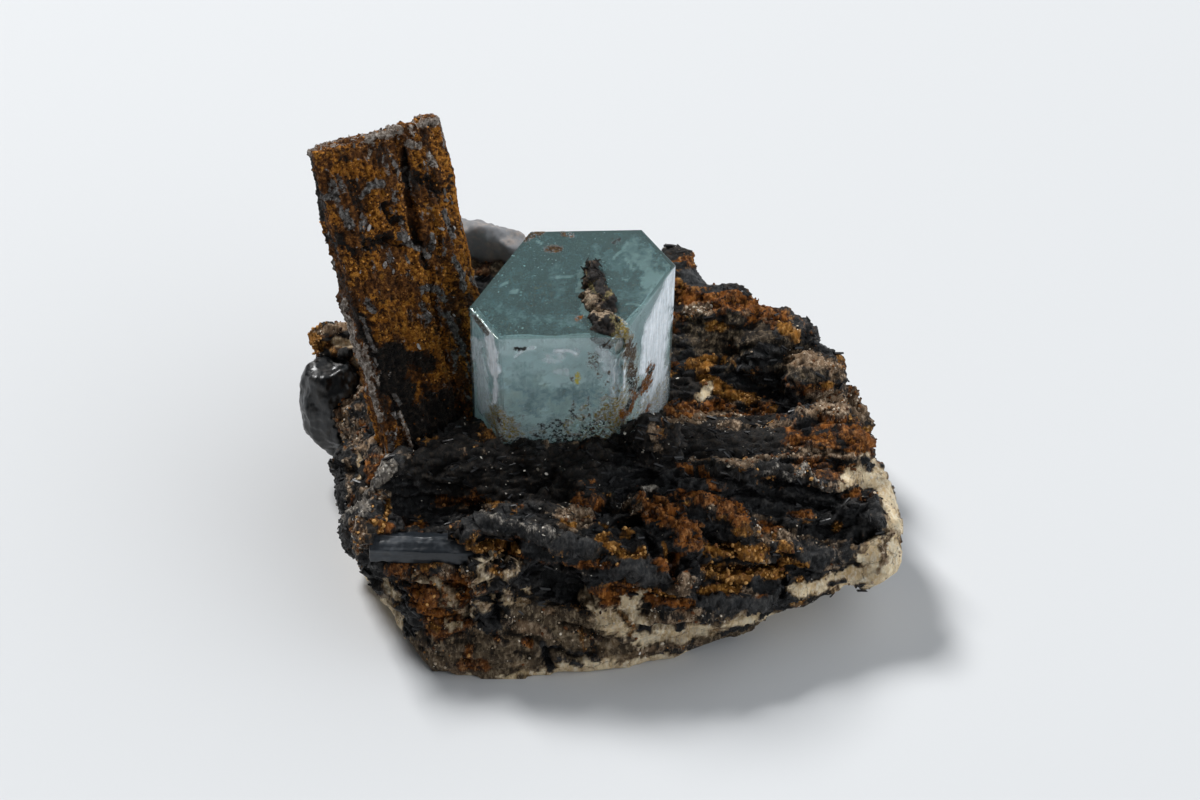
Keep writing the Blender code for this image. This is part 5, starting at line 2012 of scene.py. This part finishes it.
CRUST_MARKS = marks(
    (Crust.CREAM, ((588, 300, 592, 312, 600, 316), 6, 0.75, 3, 0.9),
     ((602, 318, 612, 316), 5, 0.8, 3, 0.9), ((588, 290, 594, 300), 4, 0.7, 3, 0.9)),
    (Crust.OLIVE, ((592, 272, 596, 284, 602, 292), 6, 1, 3, 0.9),
     ((612, 318, 620, 330, 616, 338), 6, 0.9, 3, 0.9), ((606, 296, 614, 290), 3, 0.8)),
    (Crust.DARK, ((591, 268, 592, 278), 4, 1, 3, 0.8), ((596, 266, 598, 276), 3),
     ((598, 284, 602, 292), 4, 1, 3, 0.8), ((605, 306, 614, 300, 621, 304), 6, 1, 3, 0.8),
     ((594, 322, 604, 328, 600, 340), 7, 1, 3, 0.8), ((585, 312, 588, 320), 4, 0.7)),
)

CRUST_SPLINTERS = Strewing(
    "crust_splinters", "brown_crust", Grain.SPLINTER, 130, (0.22, 0.85), (1.0, 0.30, 0.26),
    Tones((0.003, 0.002, 0.0015), (0.014, 0.009, 0.006), (0.09, 0.06, 0.04)), 0.6, 99,
    sink=0.35, tilt=0.35, lie=(-0.1, 0.8, 0.7), spread=0.35)


@dataclass(frozen=True)
class CrustFinish:
    """Earthy crust in four tones."""

    name: str = "earthy_crust"

    def build(self) -> Material:
        """Make the material.

        Returns:
            The material.
        """
        graph = Skin(self.name)
        number, face, fine = graph.group(GRIT, graph.millimetres(), 5.5, 0.5)
        blend = graph.blend(number, 0.45, fine)
        colour = graph.mottled(CRUST_TONES[Crust.BROWN], blend, fine)
        for part in list(Crust)[1:]:
            mask = graph.patch(part, blend, 1.2, 3.5)
            colour = graph.mix(mask, colour, graph.mottled(CRUST_TONES[part], blend, fine))
        return graph.dress(Base_Color=colour, Roughness=0.8, Normal=graph.bump(face, 0.6, 0.08))


@dataclass
class EdgeCrust:
    """Brown crust lodged in the aquamarine's broken edge."""

    voxel: float = 0.09
    spread: float = 0.26
    seed: int = 45

    def build(self) -> Object:
        """Model, paint and show the crust.

        Returns:
            The piece.
        """
        skin = even_skin("edge_crust", self.voxel, 3)
        points = skin.points
        lumps = fractal_noise(points * 1.1, 4, 0.6, self.seed)
        room, number = cell_noise(points * (2.6, 2.0, 1.6), self.seed + 1)
        shards = (number - 0.45) * ease_between(0.0, 0.18, room)
        skin.push(self.spread + 0.28 * lumps + 0.55 * shards)
        palette = Palette(skin, Crust, Crust.BROWN)
        palette.lay(Crust.DARK, ease_between(0.1, 0.4, fractal_noise(points * 0.9, 3, 0.5, 47)) * 0.8)
        palette.draw(Brush(skin, self.seed + 2), CRUST_MARKS)
        skin.settle()
        palette.store()
        back = (points[:, 1] - points[:, 1].min()) / np.ptp(points[:, 1])
        CRUST_SPLINTERS.build(skin, ease_between(0.6, 0.9, back) + 0.02, np.full(skin.count, 0.3))
        return add_piece("edge_crust_lump", skin.mesh, CrustFinish().build(), "brown_crust",
                         "edge_crust")


# ---- smaller crystals --------------------
@dataclass(frozen=True)
class SchorlFinish:
    """Black tourmaline: glossy, striated, dusty in places."""

    name: str
    dark: Triple = (0.004, 0.005, 0.006)
    dust: Triple = (0.06, 0.055, 0.05)
    gloss: float = 0.30
    stretch: Triple = (0.25, 0.25, 3.0)

    def build(self) -> Material:
        """Make the material.

        Returns:
            The material.
        """
        graph = Skin(self.name)
        lines = graph.noise(graph.millimetres(self.stretch), 1.0, 4.0, 0.6)
        patches = graph.noise(graph.millimetres(), 0.8, 5.0, 0.65)
        dusty = graph.span(graph.blend(lines, 0.4, patches), 0.48, 0.66)
        return graph.dress(Base_Color=graph.mix(dusty, self.dark, self.dust),
                           Roughness=graph.span(dusty, 0.0, 1.0, self.gloss, 0.7),
                           Normal=graph.bump(lines, 0.35, 0.08))


@dataclass
class SmallCrystal:
    """One of the smaller crystals, refined where it stands."""

    node: str
    name: str
    slot: str
    finish: SchorlFinish
    voxel: float = 0.16
    ribs: Triple = (1.4, 1.4, 0.15)
    rib_height: float = 0.12
    lump_height: float = 0.15
    seed: int = 55

    def build(self) -> Object:
        """Model and show the crystal.

        Returns:
            The piece.
        """
        skin = even_skin(self.node, self.voxel, 2)
        ribs = fractal_noise(skin.points * self.ribs, 3, 0.5, self.seed)
        lumps = fractal_noise(skin.points * 0.45, 3, 0.5, self.seed + 1)
        chips = fractal_noise(skin.points * 2.0, 2, 0.5, self.seed + 2)
        skin.push(self.rib_height * ribs + self.lump_height * lumps + 0.03 * chips)
        skin.settle()
        return add_piece(self.name, skin.mesh, self.finish.build(), self.slot, self.node)


SMALL_CRYSTALS = (
    SmallCrystal("black_crystal", "black_crystal_rounded", "black_tourmaline",
                 SchorlFinish("black_schorl"), lump_height=0.35),
    SmallCrystal("ledge_crystal", "ledge_blade", "black_tourmaline",
                 SchorlFinish("blade_schorl", (0.012, 0.0155, 0.020), (0.044, 0.052, 0.062), 0.34,
                              (3.0, 0.5, 0.4)),
                 voxel=0.10, ribs=(0.12, 1.6, 1.6), rib_height=0.05, lump_height=0.10, seed=65),
    SmallCrystal("back_plate", "back_plate_grey", "grey_plate",
                 SchorlFinish("grey_plate_stone", (0.20, 0.20, 0.205), (0.35, 0.29, 0.25), 0.6,
                              (1.0, 1.0, 1.0)),
                 voxel=0.24, ribs=(1.1, 1.1, 0.5), rib_height=0.22, lump_height=0.18, seed=75),
)


# ---- studio ------------------------------
@dataclass
class Studio:
    """Floor, soft light and camera."""

    floor_size: float = 3.0
    floor_colour: Triple = (0.70, 0.71, 0.72)
    sky: Triple = (0.92, 0.96, 1.0)
    sky_bright: float = 1.70
    sky_dim: float = 0.08
    sky_side: Triple = (1.0, 0.10, -0.05)
    key_power: float = 35.5
    key_size: float = 0.46
    key_place: Triple = (-0.80, 1.00, 1.40)
    key_aim: Triple = (0.0, 0.0, 0.01)
    sensor: float = 36.0

    def build(self) -> None:
        """Make the whole studio."""
        self.lay_floor()
        self.hang_lights()
        self.set_camera()
        bpy.context.scene.view_settings.view_transform = "Standard"

    def lay_floor(self) -> None:
        """Lay a plain pale floor."""
        work = bmesh.new()
        bmesh.ops.create_grid(work, x_segments=1, y_segments=1, size=self.floor_size)
        mesh = new_mesh(work, "floor")
        mesh.materials.append(Skin("pale_floor").dress(Base_Color=self.floor_colour, Roughness=0.9))
        floor = placed("floor", mesh)

    def hang_lights(self) -> None:
        """Hang a pale sky that is brighter on one side, and one soft light high on the other."""
        world = bpy.data.worlds.new("soft_sky")
        world.use_nodes = True
        graph = Graph(world.node_tree)
        towards = graph.put("VectorMath", {"operation": "DOT_PRODUCT"},
                            graph.put("TexCoord").outputs["Generated"], self.sky_side)
        level = graph.span(towards.outputs["Value"], 0.0, 0.8, self.sky_dim, self.sky_bright)
        graph.join(world.node_tree.nodes["Background"], Color=self.sky, Strength=level)
        bpy.context.scene.world = world
        lamp = bpy.data.lights.new("window", "AREA")
        lamp.energy = self.key_power
        lamp.size = self.key_size
        self.aimed(placed("window", lamp), self.key_place, Vector(self.key_aim) - Vector(self.key_place))

    def set_camera(self) -> None:
        """Set a long lens at the fixed view."""
        lens = bpy.data.cameras.new("camera")
        lens.sensor_width = self.sensor
        lens.lens = VIEW.focal / VIEW.width * self.sensor
        lens.clip_start = 0.005
        camera = placed("camera", lens)
        self.aimed(camera, VIEW.eye() * MM, Vector(VIEW.axes()[2]))
        bpy.context.scene.camera = camera

    @staticmethod
    def aimed(thing: Object, place: Sequence[float], forward: Vector) -> None:
        """Put a lamp or a camera at a place, facing forward."""
        thing.location = place
        thing.rotation_euler = forward.to_track_quat("-Z", "Y").to_euler()


def main() -> None:
    """Build the specimen, piece by piece, and report each."""
    logging.basicConfig(level=logging.INFO, format="%(name)s: %(message)s")
    for part in (Studio(), MatrixRock(), StandingPrism(), Aquamarine(), EdgeCrust(), *SMALL_CRYSTALS):
        part.build()


if __name__ == "__main__":
    main()
